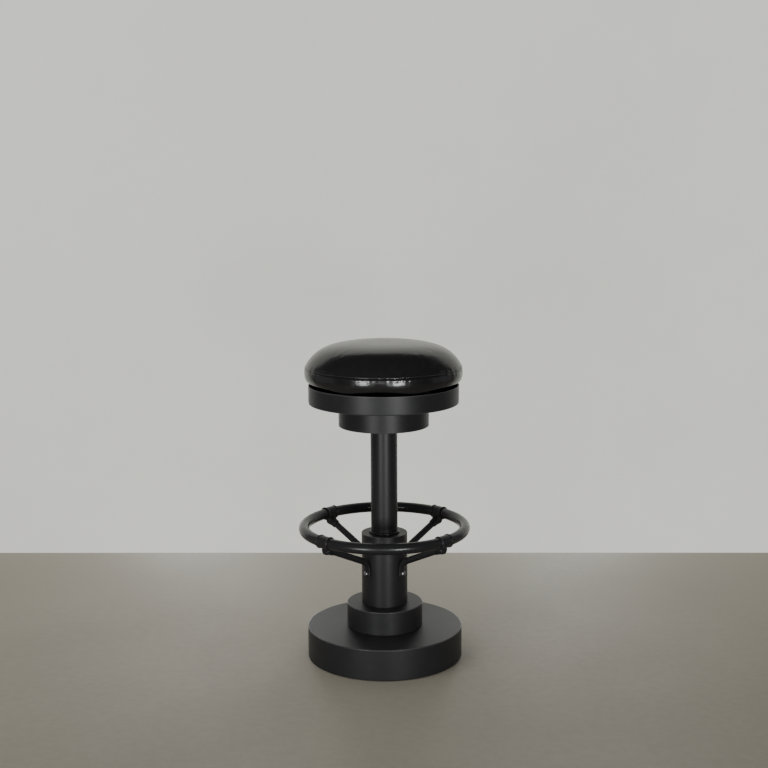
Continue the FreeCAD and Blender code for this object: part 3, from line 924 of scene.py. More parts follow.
@dataclass
class Pedestal:
    """Disc base, plinth, hub tube with its cap and trim ring, and the column."""

    wall: float = 0.003
    column_wall: float = 0.0025
    base: Extent = extent_field("base_shell")
    plinth: Extent = extent_field("plinth_shell")
    hub: Extent = extent_field("hub_tube")
    cap: Extent = extent_field("hub_cap")
    trim: Extent = extent_field("column_trim_ring")
    column: Extent = extent_field("column")

    def shell(self, name: str, size: Extent, hole: float, ease: float, foot: float) -> bpy.types.Object:
        """Turn a cover that is open below and has a hole in its roof.

        Args:
            name: The piece's name.
            size: Its extent.
            hole: Radius of the hole in its roof.
            ease: Rounding of its top edge.
            foot: Rounding of its bottom edge.

        Returns:
            The turned shell.
        """
        inner = size.radius - self.wall
        roof = size.top - self.wall
        return turn_outline(name, eased_outline([
            Corner(hole, size.top), Corner(size.radius, size.top, ease),
            Corner(size.radius, size.bottom, foot), Corner(inner, size.bottom),
            Corner(inner, roof, 0.002), Corner(hole, roof),
        ]))

    def tube(self, name: str, size: Extent, wall: float, ease: float = 0.0003) -> bpy.types.Object:
        """Turn a plain tube with eased outer edges.

        Args:
            name: The piece's name.
            size: Its extent.
            wall: Wall thickness.
            ease: Rounding of its outer edges.

        Returns:
            The turned tube.
        """
        inner = size.radius - wall
        return turn_outline(name, eased_outline([
            Corner(inner, size.top), Corner(size.radius, size.top, ease),
            Corner(size.radius, size.bottom, ease), Corner(inner, size.bottom),
        ]))

    def build(self) -> None:
        """Make the shells and tubes and put them in place of their plain nodes."""
        shells = (
            ("base_disc", "base_shell", self.base, 0.0064, 0.0022, 0.0012),
            ("plinth_disc", "plinth_shell", self.plinth, self.hub.radius + RUNNING_FIT, 0.0018, 0.0011),
        )
        for name, node, size, hole, ease, foot in shells:
            finish = PowderCoat(f"{name}_powder", roughness=0.42, edges=((size.radius, size.top),)).make()
            install_coated(self.shell(name, size, hole, ease, foot), finish, node)

        hub_finish = PowderCoat("hub_powder", roughness=0.4, edges=((self.cap.radius, self.cap.top),)).make()
        install_coated(self.tube("hub_barrel", self.hub, self.wall), hub_finish, "hub_tube")
        collar = self.column.radius + RUNNING_FIT
        spigot = self.hub.radius - self.wall - RUNNING_FIT
        cap = turn_outline("hub_lid", eased_outline([
            Corner(collar, self.cap.top), Corner(self.cap.radius, self.cap.top, 0.0014),
            Corner(self.cap.radius, self.hub.top), Corner(spigot, self.hub.top),
            Corner(spigot, self.cap.bottom), Corner(collar, self.cap.bottom),
        ]))
        install_coated(cap, hub_finish, "hub_cap")

        bead = turn_outline("column_bead", eased_outline([
            Corner(collar, self.trim.top), Corner(self.trim.radius, self.trim.top, 0.0021),
            Corner(self.trim.radius, self.trim.bottom, 0.0012), Corner(collar, self.trim.bottom),
        ]))
        install_coated(bead, PowderCoat("bead_powder", roughness=0.28).make(), "column_trim_ring")

        column_finish = PowderCoat("column_powder", roughness=0.42).make()
        install_coated(self.tube("column_post", self.column, self.column_wall), column_finish, "column")


@dataclass
class SeatDrums:
    """The two stepped drums that carry the seat."""

    wall: float = 0.003
    lower: Extent = extent_field("lower_drum")
    upper: Extent = extent_field("upper_drum")

    def pan(self, name: str, size: Extent, hole: float, ease: float, rim: float) -> bpy.types.Object:
        """Turn a pan that is open above and has a hole in its floor.

        Args:
            name: The piece's name.
            size: Its extent.
            hole: Radius of the hole in its floor.
            ease: Rounding of its bottom edge.
            rim: Rounding of its rim.

        Returns:
            The turned pan.
        """
        inner = size.radius - self.wall
        floor = size.bottom + self.wall
        return turn_outline(name, eased_outline([
            Corner(hole, size.bottom), Corner(size.radius, size.bottom, ease),
            Corner(size.radius, size.top, rim), Corner(inner, size.top, rim),
            Corner(inner, floor, 0.0015), Corner(hole, floor),
        ]), 256)

    def build(self) -> None:
        """Make both pans in place of their plain nodes."""
        column_hole = Extent.of("column").radius + RUNNING_FIT
        for name, node, size, hole, ease, rim in (
            ("drum_step", "lower_drum", self.lower, column_hole, 0.0016, 0.0004),
            ("drum_rim", "upper_drum", self.upper, 0.045, 0.0026, 0.0011),
        ):
            edges = ((size.radius, size.bottom), (size.radius, size.top))
            finish = PowderCoat(f"{name}_powder", roughness=0.44, edges=edges).make()
            install_coated(self.pan(name, size, hole, ease, rim), finish, node)


@dataclass
class Footrest:
    """Enamelled ring in four quarters, cast tees, bent spokes and their bolts."""

    ring_reach: float = 0.19125
    ring_height: float = 0.3152
    tube: float = 0.0127
    spoke: float = 0.0078
    sleeve: float = 0.0148
    lip: float = 0.0164
    sleeve_sweep: float = 10.2
    hub_radius: float = 0.0547
    bolt_height: float = 0.213
    spoke_outer: Spot = (0.179, 0.2946)
    spoke_knee: Spot = (0.073, 0.2458)
    bend_centre: Spot = (0.0801, 0.2304)
    bend: float = 0.017

    def ring_section(self, degrees: float, radius: float) -> Section:
        """A round section of the ring.

        Args:
            degrees: Where it stands about the axis.
            radius: Its radius.

        Returns:
            The section.
        """
        out, _ = bearing(degrees)
        return Section(out * self.ring_reach + UP * self.ring_height, out, UP, radius, radius)

    def quarter(self, name: str, start: float) -> bpy.types.Object:
        """Bend one quarter of the ring's tube.

        Args:
            name: The piece's name.
            start: Where it starts, in degrees.

        Returns:
            The bent tube.
        """
        shape = bmesh.new()
        sweep_sections(shape, [self.ring_section(start + 89.4 * k / 60, self.tube) for k in range(61)], 40)
        return mesh_piece(name, shape, sharp=60.0)

    def tee(self, name: str, azimuth: float) -> bpy.types.Object:
        """Cast one tee: a sleeve with rolled lips, melted into a branch that takes the spoke.

        Args:
            name: The piece's name.
            azimuth: Where it stands, in degrees.

        Returns:
            The tee.
        """
        shape = bmesh.new()
        half = self.sleeve_sweep / 2
        steps = 44
        sections = []
        for k in range(steps + 1):
            along = -half + self.sleeve_sweep * k / steps
            inset = (half - abs(along)) / half
            lip = math.exp(-((inset - 0.09) / 0.085) ** 2)
            end = min(1.0, inset / 0.05)
            radius = self.sleeve + (self.lip - self.sleeve + 0.0003) * lip - 0.0012 * (1.0 - end)
            sections.append(self.ring_section(azimuth + along, radius))
        sweep_sections(shape, sections, 36)

        out, across = bearing(azimuth)
        (outer_reach, outer_height), (knee_reach, knee_height) = self.spoke_outer, self.spoke_knee
        run = (out * (outer_reach - knee_reach) + UP * (outer_height - knee_height)).normalized()
        rise = run.cross(across).normalized()
        end_point = out * outer_reach + UP * outer_height
        branch = []
        for distance, radius in ((-0.0130, 0.0090), (-0.0122, 0.0098), (-0.0095, 0.0100), (-0.006, 0.0101),
                                 (-0.002, 0.0106), (0.002, 0.0116), (0.006, 0.0127), (0.011, 0.0129),
                                 (0.0145, 0.0105)):
            branch.append(Section(end_point + run * distance, across, rise, radius, radius))
        sweep_sections(shape, branch, 32)
        rough = mesh_piece(name + "_rough", shape)
        melt = rough.modifiers.new("melt", "REMESH")
        melt.mode = "VOXEL"
        melt.voxel_size = 0.0008
        ease = rough.modifiers.new("ease", "SMOOTH")
        ease.factor = 0.5
        ease.iterations = 7
        piece = baked_copy(rough, name)
        piece.data.shade_smooth()
        return piece

    def spoke_bar(self, name: str, azimuth: float) -> bpy.types.Object:
        """Forge one spoke: a round bar bent down the hub and beaten flat at its end.

        Args:
            name: The piece's name.
            azimuth: Where it stands, in degrees.

        Returns:
            The spoke.
        """
        out, across = bearing(azimuth)
        (outer_reach, outer_height), (knee_reach, knee_height) = self.spoke_outer, self.spoke_knee
        slope = (outer_height - knee_height) / (outer_reach - knee_reach)
        plan = [
            (reach, outer_height + (reach - outer_reach) * slope, self.spoke, self.spoke)
            for reach in (0.1835, 0.160, 0.130, 0.105, 0.088, 0.079, knee_reach)
        ]
        for degrees, inward, half_side, half_rise in (
            (130, 0.0, 0.0078, 0.0078), (144, 0.0004, 0.0079, 0.0075), (158, 0.0019, 0.0081, 0.0064),
            (174, 0.0034, 0.0085, 0.0047),
        ):
            turn = math.radians(degrees)
            plan.append((self.bend_centre[0] + self.bend * math.cos(turn) - inward,
                         self.bend_centre[1] + self.bend * math.sin(turn), half_side, half_rise))
        face = self.hub_radius + 0.00275
        plan += [
            (face + 0.0008, 0.2255, 0.0088, 0.0033), (face + 0.0001, 0.2200, 0.0090, 0.0028),
            (face, 0.2130, 0.0090, 0.00275), (face, 0.2080, 0.0089, 0.00275),
            (face, 0.2052, 0.0080, 0.00275), (face, 0.2034, 0.0060, 0.0027),
            (face, 0.2023, 0.0034, 0.0025), (face, 0.2020, 0.0012, 0.0020),
        ]
        points = smooth_table(plan, 6)
        sections = []
        for index, (reach, height, half_side, half_rise) in enumerate(points):
            before, after = around_point(points, index)
            along = (out * (after[0] - before[0]) + UP * (after[1] - before[1])).normalized()
            rise = along.cross(across).normalized()
            flat = max(0.0, min(1.0, (half_side - 0.0074) / 0.0012))
            saddle = flat / (2 * self.hub_radius)
            sections.append(Section(out * reach + UP * height, across, rise, half_side, half_rise, saddle))
        shape = bmesh.new()
        sweep_sections(shape, sections, 32)
        return mesh_piece(name, shape, sharp=70.0)

    def bolt_template(self) -> bpy.types.Object:
        """Turn a domed socket-head bolt that points along X, its seat at the origin.

        Returns:
            The bolt.
        """
        shank_and_dome = (
            (0.004, -0.011), (0.004, 0.0), (0.0052, 0.0), (0.0057, 0.0006), (0.0058, 0.0016),
            (0.0055, 0.0027), (0.0047, 0.0037), (0.0036, 0.0044), (0.0027, 0.0046),
        )
        socket_wall = ((0.0024, 0.0045), (0.0023, 0.0022))
        shape = bmesh.new()
        angles = round_angles(36)
        rings = [[shape.verts.new((-0.011, 0.0, 0.0))]]
        for radius, height in shank_and_dome:
            rings.append([self.bolt_point(shape, radius, height, angle) for angle in angles])
        for radius, height in socket_wall:
            rings.append([
                self.bolt_point(shape, self.hexagon(radius, angle), height, angle) for angle in angles
            ])
        rings.append([shape.verts.new((0.0019, 0.0, 0.0))])
        bridge_all(shape, rings)
        return mesh_piece("bolt_template", shape, sharp=50.0)

    @staticmethod
    def bolt_point(shape: bmesh.types.BMesh, radius: float, height: float,
                   angle: float) -> bmesh.types.BMVert:
        """A vertex on a ring about the X axis."""
        return shape.verts.new((height, radius * math.cos(angle), radius * math.sin(angle)))

    @staticmethod
    def hexagon(radius: float, angle: float) -> float:
        """Reach of a hexagon's side at an angle, from its radius across flats."""
        return radius / math.cos((angle % (math.pi / 3)) - math.pi / 6)

    def washer_template(self) -> bpy.types.Object:
        """Turn a plain washer that faces along X.

        Returns:
            The washer.
        """
        profile = (
            (0.0042, 0.0), (0.0066, 0.0), (0.0072, 0.0003),
            (0.0072, 0.0011), (0.0068, 0.0014), (0.0042, 0.0014),
        )
        shape = bmesh.new()
        rings = [
            [self.bolt_point(shape, radius, height, angle) for angle in round_angles(32)]
            for radius, height in profile
        ]
        bridge_all(shape, rings + rings[:1])
        return mesh_piece("washer_template", shape, sharp=50.0)

    def build(self) -> None:
        """Make the ring, tees, spokes and fixings in place of their plain nodes."""
        enamel = PowderCoat("ring_enamel_black", roughness=0.27, peel=0.00002, shine=0.3).make()
        cast = PowderCoat("tee_black", roughness=0.36, peel=0.00009).make()
        forged = PowderCoat("spoke_black", roughness=0.4, peel=0.00007).make()
        for side, start in (("back", 45.3), ("left", 135.3), ("front", 225.3), ("right", 315.3)):
            install(self.quarter(f"ring_quarter_{side}", start), Body.STAND, "ring_enamel", enamel,
                    [f"foot_ring_{side}"])
        for place in Quarter:
            corner = place.name.lower()
            install(self.tee(f"tee_{corner}", place.value), Body.STAND, "fitting_black", cast,
                    [f"ring_tee_{corner}"])
            install(self.spoke_bar(f"spoke_bar_{corner}", place.value), Body.STAND, "fitting_black", forged,
                    [f"spoke_{corner}"])
        bright = BareSteel("bolt_steel", (0.3, 0.3, 0.31), 0.36).make()
        # The washers' near-black colour is painted shade under each bolt head.
        washer_painted_shade_finish = BareSteel("washer_steel", (0.05, 0.05, 0.052), 0.45).make()
        face = self.hub_radius + 0.0055
        tree = RepeatTree("fixings_round_hub")
        for template, name, finish, reach, slot, node in (
            (self.washer_template(), "spoke_washer_set", washer_painted_shade_finish, face, "zinc_steel", "spoke_washers"),
            (self.bolt_template(), "spoke_bolt_set", bright, face + 0.0014, "bright_steel", "spoke_bolts"),
        ):
            made = tree.repeat(template, name, finish, Count=4, Radius=reach, Height=self.bolt_height,
                               First_angle=math.radians(45), Waver=0.0, Seed=1)
            install(made, Body.STAND, slot, finish, [node])


def smooth_table(rows: Sequence[tuple[float, ...]], steps: int) -> list[tuple[float, ...]]:
    """Run a Catmull-Rom curve through rows of numbers.

    Args:
        rows: The rows to pass through.
        steps: Points from each row to the next.

    Returns:
        The denser rows.
    """
    dense = []
    for index in range(len(rows) - 1):
        before, after = around_point(rows, index)
        beyond = rows[min(len(rows) - 1, index + 2)]
        for step in range(steps):
            t = step / steps
            dense.append(tuple(
                0.5 * (2 * b + (c - a) * t + (2 * a - 5 * b + 4 * c - d) * t * t
                       + (3 * b - a - 3 * c + d) * t ** 3)
                for a, b, c, d in zip(before, rows[index], after, beyond)
            ))
    dense.append(tuple(rows[-1]))
    return dense


@dataclass
class Cushion:
    """Domed leather cushion: simulated fill, sewn seam, puckers and a loose lower edge."""

    seam_height: float = 0.700
    facets: int = 480
    stitches: int = 244
    swell: float = 0.0045
    underside: float = 0.6684
    frames: int = 20
    sags: tuple[tuple[float, float, float], ...] = (
        (-math.pi / 2 - 0.52, 0.26, 1.0), (-math.pi / 2 + 0.40, 0.24, 0.95), (2.4, 0.35, 0.7),
        (0.6, 0.3, 0.8), (1.5, 0.25, 0.6), (3.05, 0.22, 0.5),
    )
    crown: tuple[Spot, ...] = (
        (0.0, 0.7612), (0.030, 0.7611), (0.060, 0.7602), (0.085, 0.7582), (0.105, 0.7556),
        (0.125, 0.7512), (0.142, 0.7450), (0.156, 0.7368), (0.168, 0.7264), (0.1765, 0.7160),
        (0.1820, 0.7072), (0.1844, 0.7000),
    )
    band: tuple[Spot, ...] = (
        (0.1844, 0.7000), (0.1854, 0.6945), (0.1857, 0.6880), (0.1850, 0.6805), (0.1830, 0.6745),
        (0.1796, 0.6702), (0.1750, 0.6686), (0.1680, 0.6684), (0.1590, 0.6684),
    )

    def profile(self) -> list[Spot]:
        """The outer skin's outline, from the crown's centre down and under the board.

        Returns:
            Points as reach and height.
        """
        upper = smooth_table(self.crown, 7)
        lower = smooth_table(self.band, 6)
        return [(point[0], point[1]) for point in upper[:-1] + lower]

    def inner(self) -> list[Spot]:
        """The hidden underside, which wraps the board without touching it."""
        board = Extent.of("seat_board")
        edge = board.radius + 0.0004
        return [(0.1590, board.bottom - 0.0001), (edge, board.bottom - 0.0001), (edge, board.top + 0.0003),
                (0.02, board.top + 0.0003), (0.0, board.top + 0.0003)]

    def filled(self) -> BVHTree:
        """Blow the cushion up with cloth pressure, held at its seam and under its board.

        Returns:
            The filled surface, for reading distances.
        """
        outline = [Vector(point) for point in self.profile()]
        blank = turn_outline("cushion_blank", outline + [Vector((0.0, self.underside))], 96)
        melt = blank.modifiers.new("melt", "REMESH")
        melt.mode = "VOXEL"
        melt.voxel_size = 0.0055
        pad = baked_copy(blank, "cushion_pad")
        rest = [vertex.co.copy() for vertex in pad.data.vertices]
        held = pad.vertex_groups.new(name="held")
        for index, point in enumerate(rest):
            reach = math.hypot(point.x, point.y)
            seam = max(0.0, 1.0 - abs(point.z - self.seam_height) / 0.004) if reach > 0.175 else 0.0
            under = 1.0 if point.z < 0.6705 else 0.0
            held.add([index], max(seam, under), "REPLACE")
        cloth = pad.modifiers.new("fill", "CLOTH")
        cloth.settings.quality = 5
        cloth.settings.mass = 0.5
        cloth.settings.tension_stiffness = 18
        cloth.settings.compression_stiffness = 18
        cloth.settings.bending_stiffness = 0.8
        cloth.settings.use_pressure = True
        cloth.settings.uniform_pressure_force = 4.0
        cloth.settings.effector_weights.gravity = 0.0
        cloth.settings.vertex_group_mass = "held"
        cloth.collision_settings.use_collision = False
        scene = bpy.context.scene
        for number in range(1, self.frames + 1):
            scene.frame_set(number)
        result = baked_copy(pad, "cushion_filled")
        scene.frame_set(1)
        for vertex, start in zip(result.data.vertices, rest):
            step = vertex.co - start
            if step.length > self.swell:
                vertex.co = start + step.normalized() * self.swell
        shape = bmesh.new()
        shape.from_mesh(result.data)
        tree = BVHTree.FromBMesh(shape)
        shape.free()
        bpy.data.objects.remove(result)
        return tree

    @staticmethod
    def wave(angle: float, rate: float, seed: float) -> float:
        """Smooth noise round the cushion, from about -1 to 1.

        Args:
            angle: Angle about the axis.
            rate: How quickly it changes.
            seed: Picks one of many patterns.

        Returns:
            The noise value.
        """
        return noise.noise(Vector((math.cos(angle) * rate, math.sin(angle) * rate, seed)))

    def sag(self, angle: float) -> float:
        """How far the lower edge hangs at an angle, from 0 to 1.

        Args:
            angle: Angle about the axis.

        Returns:
            The share of the full sag.
        """
        total = 0.0
        for centre, width, depth in self.sags:
            away = (angle - centre + math.pi) % math.tau - math.pi
            total = max(total, depth * math.exp(-(away / width) ** 2))
        return total

    def tailored(self, reach: float, height: float, angle: float, push: float) -> Spot:
        """Place one point of the skin: fill, seam, puckers and loose edge.

        Args:
            reach: Its pattern reach.
            height: Its pattern height.
            angle: Angle about the axis.
            push: How far the fill pushes it out.

        Returns:
            Its reach and height.
        """
        above = height - self.seam_height
        at_edge = math.exp(-((reach - 0.184) / 0.02) ** 2) if above < 0.03 else 0.0
        groove = -0.0016 * math.exp(-(above / 0.0010) ** 2)
        groove += 0.00055 * math.exp(-((above - 0.0034) / 0.0019) ** 2)
        groove += 0.0003 * math.exp(-((above + 0.0030) / 0.0018) ** 2)
        fade = math.exp(-max(0.0, above) / 0.008) if above > 0 else math.exp(above / 0.0055)
        fine = self.wave(angle + above * 1.1, 17.0, 3.1) + 0.6 * self.wave(angle - above * 2.0, 31.0, 8.4)
        beside = (angle + math.pi / 2 - 0.27 + math.pi) % math.tau - math.pi
        gather = 0.75 + 0.85 * math.exp(-(beside / 0.17) ** 2)
        pucker = 0.0012 * gather * fine * fade * (1.0 - math.exp(-(above / 0.0012) ** 2) * 0.6)
        slack = 0.0012 * self.wave(angle, 2.3, 5.0 + height * 14.0)
        new_reach = reach + (groove + pucker) * at_edge + (push + slack * 0.5) * min(1.0, reach / 0.12)
        across = Vector(polar(reach * 9.0, angle, 11.0))
        rise = push * 0.8 + 0.0009 * noise.noise(across)
        new_height = height + rise * (1.0 - min(1.0, reach / 0.19))
        low = max(0.0, min(1.0, (0.684 - height) / 0.0145)) * max(0.0, min(1.0, (reach - 0.163) / 0.008))
        drop = 0.0050 * self.sag(angle) + 0.0007 * self.wave(angle, 7.0, 21.0)
        new_height -= max(-0.0006, drop) * low * low
        return new_reach, max(new_height, 0.6634)

    def build(self) -> bpy.types.Object:
        """Sew the cushion in place of its plain solids.

        Returns:
            The cushion.
        """
        outline = self.profile()
        filled = self.filled()
        shape = bmesh.new()
        rings: list[Ring] = []
        for index, (reach, height) in enumerate(outline):
            before, after = around_point(outline, index)
            slope = Vector((after[1] - before[1], before[0] - after[0])).normalized() * -1.0
            ring = []
            for angle in round_angles(self.facets if reach > AT_AXIS else 1):
                push = self.fill_push(filled, reach, height, slope, angle)
                new_reach, new_height = self.tailored(reach, height, angle, push)
                ring.append(shape.verts.new(polar(new_reach, angle, new_height)))
            rings.append(ring)
        rings += [level_ring(shape, reach, height, self.facets) for reach, height in self.inner()]
        bridge_all(shape, rings)
        cushion = mesh_piece("leather_cushion", shape, sharp=75.0)
        hide = SmoothLeather("black_hide", self.seam_height).make()
        install(cushion, Body.SEAT, "black_leather", hide, ["leather_top", "leather_band", "foam_core"])
        self.sew(cushion)
        return cushion

    def fill_push(self, filled: BVHTree | None, reach: float, height: float, slope: Vector,
                  angle: float) -> float:
        """How far the fill moves a point of the pattern along its normal.

        Args:
            filled: The filled surface, or None when the simulation is skipped.
            reach: The point's reach.
            height: The point's height.
            slope: Its outward normal as reach and height.
            angle: Angle about the axis.

        Returns:
            The distance, outward positive.
        """
        if filled is None or height < 0.673:
            return 0.0
        point = Vector(polar(reach, angle, height))
        out = Vector(polar(slope.x, angle, slope.y))
        hit = filled.ray_cast(point + out * 0.02, -out, 0.035)
        if hit[0] is None:
            return 0.0
        push = (hit[0] - point).dot(out)
        middle = 0.3 + 0.7 * (1.0 - math.exp(-(reach / 0.07) ** 2))
        return max(-0.001, min(self.swell, push)) * 0.75 * middle

    def sew(self, cushion: bpy.types.Object) -> None:
        """Lay a row of stitches just above the seam.

        Args:
            cushion: The surface that they lie on.
        """
        shape = bmesh.new()
        sections = []
        half = 0.00165
        for k in range(7):
            along = -half + 2 * half * k / 6
            round_off = math.sqrt(max(0.02, 1.0 - (along / half) ** 4))
            dip = 0.0004 * (abs(along) / half) ** 2
            sections.append(Section(Vector((0.0001 - dip, along, 0.0)), Vector((1.0, 0.0, 0.0)), UP,
                                    0.00038 * round_off, 0.00042 * round_off))
        sweep_sections(shape, sections, 6)
        stitch = mesh_piece("stitch_template", shape, sharp=80.0)
        thread = WaxedThread("seam_thread").make()
        tree = RepeatTree("stitches_round_seam", cushion)
        row = tree.repeat(stitch, "seam_stitches", thread, Count=self.stitches, Radius=0.21,
                          Height=self.seam_height + 0.0031, First_angle=0.0, Waver=0.1, Seed=7)
        install(row, Body.SEAT, "black_leather", thread)


@dataclass
class Lining:
    """Strip of lining cloth under the board, between the bearing plate and the hide's turned edge."""

    facets: int = 360
    steps: int = 8
    thickness: float = 0.0004
    slack: float = 0.0007
    clearance: float = 0.00005

    def build(self) -> bpy.types.Object:
        """Stretch the cloth in place of its plain solid.

        Returns:
            The lining.
        """
        cloth = Extent.of("dust_cover")
        inner = Extent.of("swivel_upper_plate").radius + 0.001
        width = cloth.radius - inner
        upper: list[Ring] = []
        lower: list[Ring] = []
        shape = bmesh.new()
        for step in range(self.steps + 1):
            share = step / self.steps
            for rings, drop in ((upper, self.clearance), (lower, self.clearance + self.thickness)):
                ring = []
                for angle in round_angles(self.facets):
                    loose = 0.55 + 0.45 * Cushion.wave(angle, 6.0, 41.0)
                    height = cloth.top - drop - self.slack * loose * math.sin(math.pi * share)
                    ring.append(shape.verts.new(polar(inner + width * share, angle, height)))
                rings.append(ring)
        outline = upper + lower[::-1]
        bridge_all(shape, outline + outline[:1])
        lining = mesh_piece("seat_lining", shape, sharp=60.0)
        install(lining, Body.SEAT, "lining_cloth", LiningCloth("cambric_lining").make(), ["dust_cover"])
        return lining


@dataclass
class HiddenWorks:
    """Everything that keeps its frame mesh and only needs its finish."""

    def build(self) -> None:
        """Dress the carried-over nodes."""
        works: Sequence[tuple[Finish, Sequence[str]]] = (
            (BareSteel("zinc_plate"), (
                "bottom_screws", "standoffs", "tie_rod", "tie_rod_washer_lower", "tie_rod_washer_upper",
                "tie_rod_nut_lower", "tie_rod_nut_upper", "riser_lower_bolts", "riser_upper_bolts",
                "riser_nuts", "swivel_screws", "swivel_pivot", "pivot_washer", "pivot_screw_head",
                "seat_bolts", "tee_nuts", "riser", "column_top_flange", "column_foot", "rivet_nuts",
            )),
            (BareSteel("swivel_plate_steel", (0.2, 0.2, 0.205), 0.42),
             ("swivel_lower_plate", "swivel_upper_plate")),
            (BareSteel("ball_steel", (0.75, 0.75, 0.76), 0.12), ("bearing_balls",)),
            (PowderCoat("bottom_plate_powder", roughness=0.55), ("bottom_plate",)),
            (RoughStock("cast_iron_grey", (0.07, 0.07, 0.072), (0.12, 0.11, 0.1), 0.7, 420.0, 0.0004),
             ("ballast_weight",)),
            (RoughStock("floor_rubber", (0.012, 0.012, 0.012), (0.03, 0.03, 0.03), 0.75, 900.0, 0.0001),
             ("floor_ring",)),
            (RoughStock("white_nylon", (0.62, 0.6, 0.55), (0.5, 0.48, 0.43), 0.5, 600.0, 0.00006),
             ("lower_centring_ring", "upper_centring_ring", "ball_cage")),
            (LayeredBoard("birch_board", (0.52, 0.37, 0.22), (0.2, 0.11, 0.05), 0.67), ("seat_board",)),
            # Near-black colour for the swivel block: painted shade for the dark gap under the seat; its
            # grain and glue lines are real.
            (LayeredBoard("stained_block", (0.02, 0.018, 0.016), (0.006, 0.005, 0.005), 0.6198),
             ("swivel_block",)),
        )
        for finish, names in works:
            material = finish.make()
            for name in names:
                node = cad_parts[name]
                node.data.materials.clear()
                node.data.materials.append(material)
                LOG.info("%s: dressed in %s", name, material.name)


# ---------------------------------------------------------------------------
# Studio
# ---------------------------------------------------------------------------


@dataclass(frozen=True)
class SoftBox:
    """One soft lamp: where it hangs, what it faces, its size and its power."""

    name: str
    place: Place
    aim: Place
    width: float
    height: float
    watts: float
    shines: bool = True
    colour: Colour = (0.985, 0.99, 1.0)

    def hang(self) -> None:
        """Add the lamp to the scene."""
        data = bpy.data.lights.new(self.name, "AREA")
        data.shape = "RECTANGLE"
        data.size = self.width
        data.size_y = self.height
        data.energy = self.watts
        data.color = self.colour
        lamp = bpy.data.objects.new(self.name, data)
        lamp.location = self.place
        lamp.rotation_euler = (Vector(self.aim) - Vector(self.place)).to_track_quat("-Z", "Y").to_euler()
        lamp.visible_camera = False
        lamp.visible_glossy = self.shines
        bpy.context.scene.collection.objects.link(lamp)


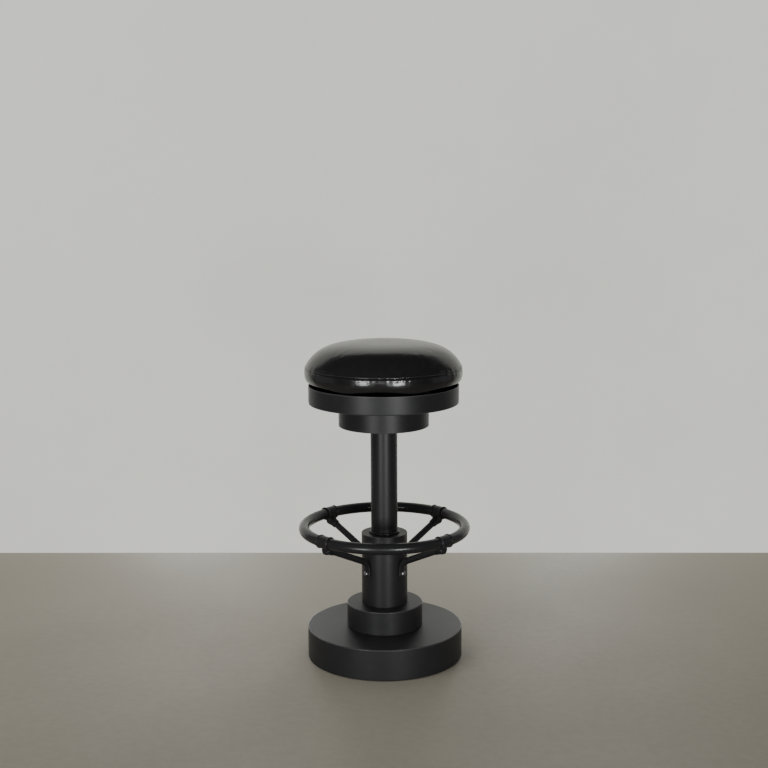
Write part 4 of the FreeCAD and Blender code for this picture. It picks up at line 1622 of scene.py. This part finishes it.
@dataclass
class Studio:
    """Pale floor, soft lamps, the room's glow and the camera."""

    floor_back: float = 0.85
    floor_radius: float = 2.2
    wall_size: Spot = (1.4, 1.72)
    wall_turn: float = 0.0185
    camera_distance: float = 3.089
    camera_height: float = 1.163
    pitch: float = 9.2453
    roll: float = -0.315
    lens: float = 62.56
    shift: float = 0.00056
    glow: Colour = (0.045, 0.045, 0.045)
    backdrop: Colour = (0.69, 0.69, 0.64)
    boxes: tuple[SoftBox, ...] = (
        SoftBox("ceiling_box", (0.0, 0.0, 4.5), (0.0, 0.0, 0.0), 8.0, 8.0, 150.0, shines=False),
        SoftBox("key_box", (-2.4, -1.6, 3.2), (0.0, 0.1, 0.2), 2.4, 2.4, 70.0, shines=False),
        SoftBox("window_left", (-1.22, -2.3, 0.30), (0.0, 0.0, 0.66), 0.56, 0.5, 30.0),
        SoftBox("window_right", (0.86, -2.45, 0.30), (0.0, 0.0, 0.66), 0.56, 0.55, 38.0),
        SoftBox("window_back_left", (-0.75, 2.4, 0.26), (0.0, 0.0, 0.6), 0.5, 0.44, 18.0),
        SoftBox("window_back_right", (0.75, 2.4, 0.26), (0.0, 0.0, 0.6), 0.5, 0.44, 18.0),
        SoftBox("front_glow", (-0.1, -3.6, 0.6), (0.0, 0.0, 0.4), 2.0, 0.7, 12.0),
        SoftBox("side_left", (-2.6, 0.1, 0.9), (0.0, 0.0, 0.5), 2.0, 2.0, 3.6),
        SoftBox("side_right", (2.6, 0.1, 0.9), (0.0, 0.0, 0.5), 2.0, 2.0, 3.6),
    )

    def flat(self, name: str, corners: Sequence[Place], facing: Vector,
             finish: bpy.types.Material) -> bpy.types.Object:
        """Add one flat stage surface.

        Args:
            name: Its name.
            corners: Its corners in order.
            facing: The side that it shows.
            finish: Its material.

        Returns:
            The surface.
        """
        shape = bmesh.new()
        shape.faces.new([shape.verts.new(corner) for corner in corners])
        surface = mesh_piece(name, shape, smooth=False)
        if surface.data.polygons[0].normal.dot(facing) < 0:
            surface.data.flip_normals()
        surface.data.materials.append(finish)
        return surface

    def lay_floor(self) -> None:
        """Lay the floor."""
        corners = [polar(self.floor_radius, angle, 0.0) for angle in round_angles(96)]
        self.flat("studio_floor", corners, UP, StudioFloor("pale_floor").make())

    def raise_wall(self) -> None:
        """Raise the wall behind the stool, which only shows from its front."""
        side, top = self.wall_size
        corners = [
            (x, self.floor_back - x * self.wall_turn, z)
            for x, z in ((-side, 0.0), (side, 0.0), (side, top), (-side, top))
        ]
        plaster = StudioPlaster("pale_plaster").make()
        wall = self.flat("studio_wall", corners, Vector((0.0, -1.0, 0.0)), plaster)
        wall.visible_shadow = False

    def light_room(self) -> None:
        """Fill the room with an even glow and hang the lamps."""
        world = bpy.data.worlds.new("studio_glow")
        bpy.context.scene.world = world
        world.use_nodes = True
        tree = world.node_tree
        tree.nodes.clear()
        shades = [
            add_node(tree, "ShaderNodeBackground", None, {"Color": (*colour, 1.0)}).outputs[0]
            for colour in (self.glow, self.backdrop)
        ]
        kind = add_node(tree, "ShaderNodeLightPath").outputs["Is Camera Ray"]
        choice = add_node(tree, "ShaderNodeMixShader", None, {0: kind, 1: shades[0], 2: shades[1]})
        add_node(tree, "ShaderNodeOutputWorld", None, {"Surface": choice.outputs[0]})
        for box in self.boxes:
            box.hang()

    def set_camera(self) -> None:
        """Stand the camera where the stool is seen from."""
        data = bpy.data.cameras.new("studio_camera")
        data.sensor_width = 36.0
        data.lens = self.lens
        data.shift_x = self.shift
        camera = bpy.data.objects.new("studio_camera", data)
        camera.location = (0.0, -self.camera_distance, self.camera_height)
        tilt = Matrix.Rotation(math.radians(90.0 - self.pitch), 4, "X")
        camera.rotation_euler = (tilt @ Matrix.Rotation(math.radians(self.roll), 4, "Z")).to_euler()
        bpy.context.scene.collection.objects.link(camera)
        bpy.context.scene.camera = camera

    def build(self) -> None:
        """Set up the whole studio."""
        self.lay_floor()
        self.raise_wall()
        self.light_room()
        self.set_camera()


def main() -> None:
    """Build every assembly in order, then the studio."""
    logging.basicConfig(level=logging.INFO, format="%(name)s: %(message)s")
    makers: Sequence[Callable[[], Any]] = (
        Pedestal().build, SeatDrums().build, Footrest().build, Cushion().build, Lining().build,
        HiddenWorks().build, Studio().build,
    )
    for make in makers:
        make()


if __name__ == "__main__":
    main()
